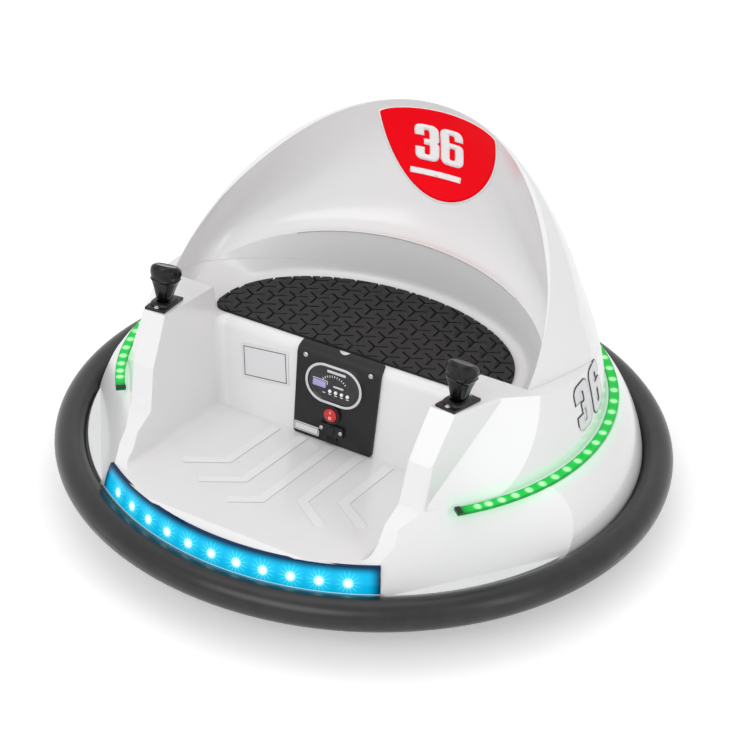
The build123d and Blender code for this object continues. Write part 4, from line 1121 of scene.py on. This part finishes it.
def draped(mesh, matrix, surface):
    """Moves a low relief onto the body: its own z becomes the height above the surface."""
    sunk = 0.3 * MM
    bm = opened(mesh)
    refined(bm, 9.0 * MM)
    normal = matrix.to_3x3() @ Vector((0, 0, 1))
    for vert in bm.verts:
        above = matrix @ Vector((vert.co.x, vert.co.y, 30 * MM))
        place = surface.ray_cast(above, -normal)[0]
        if place is None:
            vert.co = matrix @ vert.co
        else:
            vert.co = place + normal * (vert.co.z - sunk)
    return mesh_of(bm)


RIB_PITCH, RIB_BEND = 37.2 * MM, math.radians(37)
RIB_ARM, MIDDLE_ARM = 50.0 * MM, 36.0 * MM
RIB_REAR, RIB_KNEE = 8.0 * MM, 158.0 * MM      # both ends of the straight part, from the floor's rear
KNEE_STEP = 0.66                      # how much shorter a rib is for its distance from the middle
RIB_REACH = 122.0 * MM                # the arms stay this near the middle


def floor_ribs(surface):
    """Low ribs along the floor that turn outwards at the front."""
    matrix = frame_matrix(FLOOR_REAR, (1, 0, 0), (0, math.sin(FLOOR_SLOPE), math.cos(FLOOR_SLOPE)))
    verts, edges = [], []
    for place in range(-2, 3):
        x = place * RIB_PITCH
        knee = KNEE_STEP * abs(x) - RIB_KNEE
        side = 1 if place > 0 else -1
        arm = min(RIB_ARM if place else MIDDLE_ARM, (RIB_REACH - abs(x)) / math.cos(RIB_BEND))
        tip = (x + side * arm * math.cos(RIB_BEND), knee - arm * math.sin(RIB_BEND), 0)
        start = len(verts)
        verts += [(x, -RIB_REAR, 0), (x, knee, 0), tip]
        edges += [(start, start + 1), (start + 1, start + 2)]
    ribs = grown(plain_lines(verts, edges), RIDGE, Foot_Width=13.0 * MM, Top_Width=4.0 * MM,
                 Height=2.0 * MM, Material=STICKER["relief"])
    finish_piece("floor_ribs", draped(ribs, matrix, surface), STICKER["relief"],
                 sharp_deg=80.0)


CREASE_LOW, CREASE_HIGH = Vector((-150, 50, 236)) * MM, Vector((150, 118, 256)) * MM
CREASE_TURN = math.radians(35)        # the least angle between the faces at the crease


def crease_bead():
    """The rounded edge where the backrest's foot turns back into its shelf."""
    bm = opened(NODES["backrest_hood"].data)
    bmesh.ops.remove_doubles(bm, verts=bm.verts, dist=0.01 * MM)
    verts, edges, places = [], [], {}
    for edge in bm.edges:
        inside = all(CREASE_LOW[k] < v.co[k] < CREASE_HIGH[k] for v in edge.verts for k in range(3))
        if not inside or len(edge.link_faces) != 2 or edge.calc_face_angle_signed() < CREASE_TURN:
            continue
        for vert in edge.verts:
            if vert.index not in places:
                places[vert.index] = len(verts)
                verts.append(vert.co.copy())
        edges.append([places[vert.index] for vert in edge.verts])
    bm.free()
    bead = grown(plain_lines(verts, edges), RIDGE, Foot_Width=3.4 * MM, Top_Width=1.4 * MM,
                 Height=1.8 * MM, Material=STICKER["relief"])
    finish_piece("crease_bead", bead, STICKER["relief"], sharp_deg=80.0)


# ---- wheels and underside ----

TREAD_DEPTH, LUGS, LUG_SLANT = 2.6 * MM, 30, math.radians(14)
SHOULDER, LUG_T = 1.6 * TREAD_DEPTH, 1.6 * TREAD_DEPTH


def treaded_tyre(side_name):
    """A carcass with two staggered rows of slanting lugs."""
    low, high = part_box("drive_tyre_" + side_name)
    hub_low, hub_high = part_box("drive_hub_" + side_name)
    middle = (low + high) / 2
    outer, half = (high.z - low.z) / 2, (high.x - low.x) / 2
    rim = (hub_high.z - hub_low.z) / 2
    side_rows = ((outer - TREAD_DEPTH, 0.78), (outer - SHOULDER, 0.94), (outer * 0.86, 1.0), (rim, 0.86))
    profile = ([(r, -half * share) for r, share in reversed(side_rows)]
               + [(r, half * share) for r, share in side_rows])
    carcass = rings_to_mesh(turned(profile, 72), around=True)
    rows = []
    for start, side in ((0.0, 1), (0.5, -1)):
        lug = block(half * 0.86 / MM, 4.8, LUG_T / MM, 1.0, bevel=0.4)
        lug.transform(Matrix.Translation((outer - LUG_T - 0.1 * MM, 0, side * half * 0.48))
                      @ Matrix.Rotation(side * LUG_SLANT, 4, "X") @ Matrix.Rotation(math.pi / 2, 4, "Y"))
        rows.append(grown(lug, RING, Count=LUGS, Start=start * 2 * math.pi / LUGS,
                          Material=FINISH["tyre_rubber"]))
    tyre = joined([carcass] + rows)
    tyre.transform(Matrix.Translation(middle) @ Matrix.Rotation(math.pi / 2, 4, "Y"))
    piece = finish_piece("treaded_tyre_" + side_name, tyre, FINISH["tyre_rubber"],
                         "drive_wheel_" + side_name)
    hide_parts("drive_tyre_" + side_name)


BOLT_CIRCLE_R, BOLT_SUNK = 15.0 * MM, 0.6 * MM
BOLT_HEAD = ((3.2, 0.0), (3.2, 2.2), (2.56, 2.8), (0.32, 2.8))      # radius and height, mm


def hub_bolts(side_name, side):
    """Five bolt heads around the hub's outer face."""
    low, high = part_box("drive_hub_" + side_name)
    middle = (low + high) / 2
    face = (high.x if side > 0 else low.x) - side * BOLT_SUNK
    head = rings_to_mesh(turned([(r * MM, z * MM) for r, z in BOLT_HEAD], 6))
    head.transform(Matrix.Translation((BOLT_CIRCLE_R, 0, 0)))
    bolts = grown(head, RING, Count=5, Start=0.2, Material=FINISH["axle_steel"])
    matrix = frame_matrix((face, middle.y, middle.z), (0, 1, 0), (side, 0, 0))
    finish_piece("hub_bolts_" + side_name, placed(bolts, matrix), FINISH["axle_steel"],
                 "drive_wheel_" + side_name)


PAN_RIB_LOW = -2.2                    # the ribs' foot, from the pan's foot, mm


def pan_ribs():
    """Short radial ribs and one round rib under the pan."""
    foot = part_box("base_pan")[0].z
    rib = block(10, 3, 2.4, 1, (282, 0, PAN_RIB_LOW))
    ribs = grown(rib, RING, Count=36, Start=math.radians(5), Material=FINISH["pan_plastic"])
    section = ((276, 0.1), (276, PAN_RIB_LOW), (279, PAN_RIB_LOW), (279, 0.1))
    band = rings_to_mesh(turned([(r * MM, z * MM) for r, z in section], 96), around=True)
    mesh = placed(joined([ribs, band]), Matrix.Translation((0, 0, foot)))
    finish_piece("pan_ribs", mesh, FINISH["pan_plastic"])


# ---- caps at the ends of the lights ----

CAP_MIDDLE_R, CAP_HALF_W, CAP_HALF_DEG = 282.7 * MM, 5.6 * MM, 0.55
CAP_LOW, CAP_HIGH = STRIP_TOP - 1.5 * MM, STRIP_TOP + 0.5 * MM


def strip_caps():
    """A dark cap on each end of the light strips."""
    inner, outer = CAP_MIDDLE_R - CAP_HALF_W, CAP_MIDDLE_R + CAP_HALF_W
    section = ((inner, CAP_LOW), (inner, CAP_HIGH), (outer, CAP_HIGH), (outer, CAP_LOW))
    for side_name, side in SIDES:
        caps = []
        for at_deg in (STRIP_DEG[0] + 0.7, STRIP_DEG[1] - 0.7):
            rings = []
            for step in (-1.0, -0.5, 0.0, 0.5, 1.0):
                turn = math.radians(at_deg + step * CAP_HALF_DEG)
                out = Vector((side * math.cos(turn), math.sin(turn), 0))
                rings.append([out * r + Vector((0, 0, z)) for r, z in section])
            caps.append(rings_to_mesh(rings))
        finish_piece("strip_caps_" + side_name, joined(caps), FINISH["black_plastic"])


# ---- every piece in its turn ----

grooved_mat()
for side_name, side in SIDES:
    stick(side_name)
    stick_collar(side_name)
    treaded_tyre(side_name)
    hub_bolts(side_name, side)
all_screws()
SURFACE = body_surface()
shield(SURFACE)
side_numbers(SURFACE)
player_details()
switch_marks()
socket_details()
label_border()
floor_ribs(SURFACE)
crease_bead()
pan_ribs()
strip_caps()


# ---- floor, light and camera ----

WORLD_LIGHT = 0.74                    # the world's strength where it lights the object
FLOOR_LIFT = 0.3                      # makes the floor read as white to the camera


def seen_by_rays(tree):
    """1 for the rays by which the camera, a gloss or a clear body shows the background."""
    path = tree.nodes.new("ShaderNodeLightPath").outputs
    return math_node(tree, "ADD", math_node(tree, "ADD", path["Is Camera Ray"], path["Is Glossy Ray"]),
                     path["Is Transmission Ray"], clamp=True)


def floor_and_backdrop():
    """A pale floor that curves up into a backdrop."""
    mesh = bpy.data.meshes.new("floor")
    reach, wall, bend = 6.0, 5.0, 1.2
    profile = [(-reach, 0.0)]
    for step in range(9):
        turn = math.radians(90 * step / 8)
        profile.append((reach - bend + bend * math.sin(turn), bend - bend * math.cos(turn)))
    profile.append((reach, wall))
    verts = [(x, y, z) for y, z in profile for x in (-reach, reach)]
    faces = [(2 * i, 2 * i + 1, 2 * i + 3, 2 * i + 2) for i in range(len(profile) - 1)]
    mesh.from_pydata(verts, [], faces)
    material, tree, shader = new_material("pale_floor", Roughness=0.9,
                                          Emission_Color=(1, 1, 1, 1))
    speck = noise(tree, place_parts(tree)[0], 30.0, 3.0)
    link(tree, mix_colour(tree, speck, (0.90, 0.90, 0.90, 1), (0.93, 0.93, 0.93, 1)),
         shader.inputs["Base Color"])
    link(tree, math_node(tree, "MULTIPLY", seen_by_rays(tree), FLOOR_LIFT),
         shader.inputs["Emission Strength"])
    mesh.materials.append(material)
    floor = in_scene("floor", mesh)


CAR_MIDDLE = Vector((0, 0, 0.2))


def area_light(name, place, size, power):
    """A soft rectangular lamp that faces the car."""
    data = bpy.data.lights.new(name, "AREA")
    data.shape = "RECTANGLE"
    data.size, data.size_y = size
    data.energy = power
    lamp = in_scene(name, data)
    lamp.location = place
    lamp.rotation_euler = (CAR_MIDDLE - Vector(place)).to_track_quat("-Z", "Y").to_euler()


def studio():
    """A pale world and three soft lamps."""
    world = bpy.data.worlds.new("studio")
    bpy.context.scene.world = world
    world.use_nodes = True
    tree = world.node_tree
    sky = tree.nodes["Background"]
    sky.inputs["Color"].default_value = (1, 1, 1, 1)
    link(tree, math_node(tree, "MULTIPLY_ADD", seen_by_rays(tree), 1.0 - WORLD_LIGHT, WORLD_LIGHT),
         sky.inputs["Strength"])
    area_light("key", (0.1, -2.6, 1.9), (2.4, 1.4), 24)
    area_light("fill", (2.6, -0.6, 1.4), (0.35, 1.8), 7)
    area_light("top", (-0.4, 0.2, 2.8), (2.2, 1.6), 8)


AZIMUTH, RISE, ROLL = math.radians(28.33), math.radians(31.09), math.radians(2.757)
AIM, CAMERA_FAR = Vector((0, 0, 0.167)), 2.0
LENS_MM, SHIFT_X, SHIFT_Y = 83.9, 0.0083, -0.0361


def camera():
    """The view from the front and the car's left, a little above."""
    back = Vector((math.sin(AZIMUTH) * math.cos(RISE), -math.cos(AZIMUTH) * math.cos(RISE),
                   math.sin(RISE)))
    right = Vector((math.cos(AZIMUTH), math.sin(AZIMUTH), 0))
    up = back.cross(right)
    across = right * math.cos(ROLL) + up * math.sin(ROLL)
    upward = up * math.cos(ROLL) - right * math.sin(ROLL)
    data = bpy.data.cameras.new("camera")
    data.sensor_width, data.lens = 36.0, LENS_MM
    data.shift_x, data.shift_y = SHIFT_X, SHIFT_Y
    eye = in_scene("camera", data)
    facing = Matrix((across, upward, back)).transposed().to_4x4()
    eye.matrix_world = Matrix.Translation(AIM + back * CAMERA_FAR) @ facing
    bpy.context.scene.camera = eye


floor_and_backdrop()
studio()
camera()
bpy.context.scene.view_settings.view_transform = "Standard"
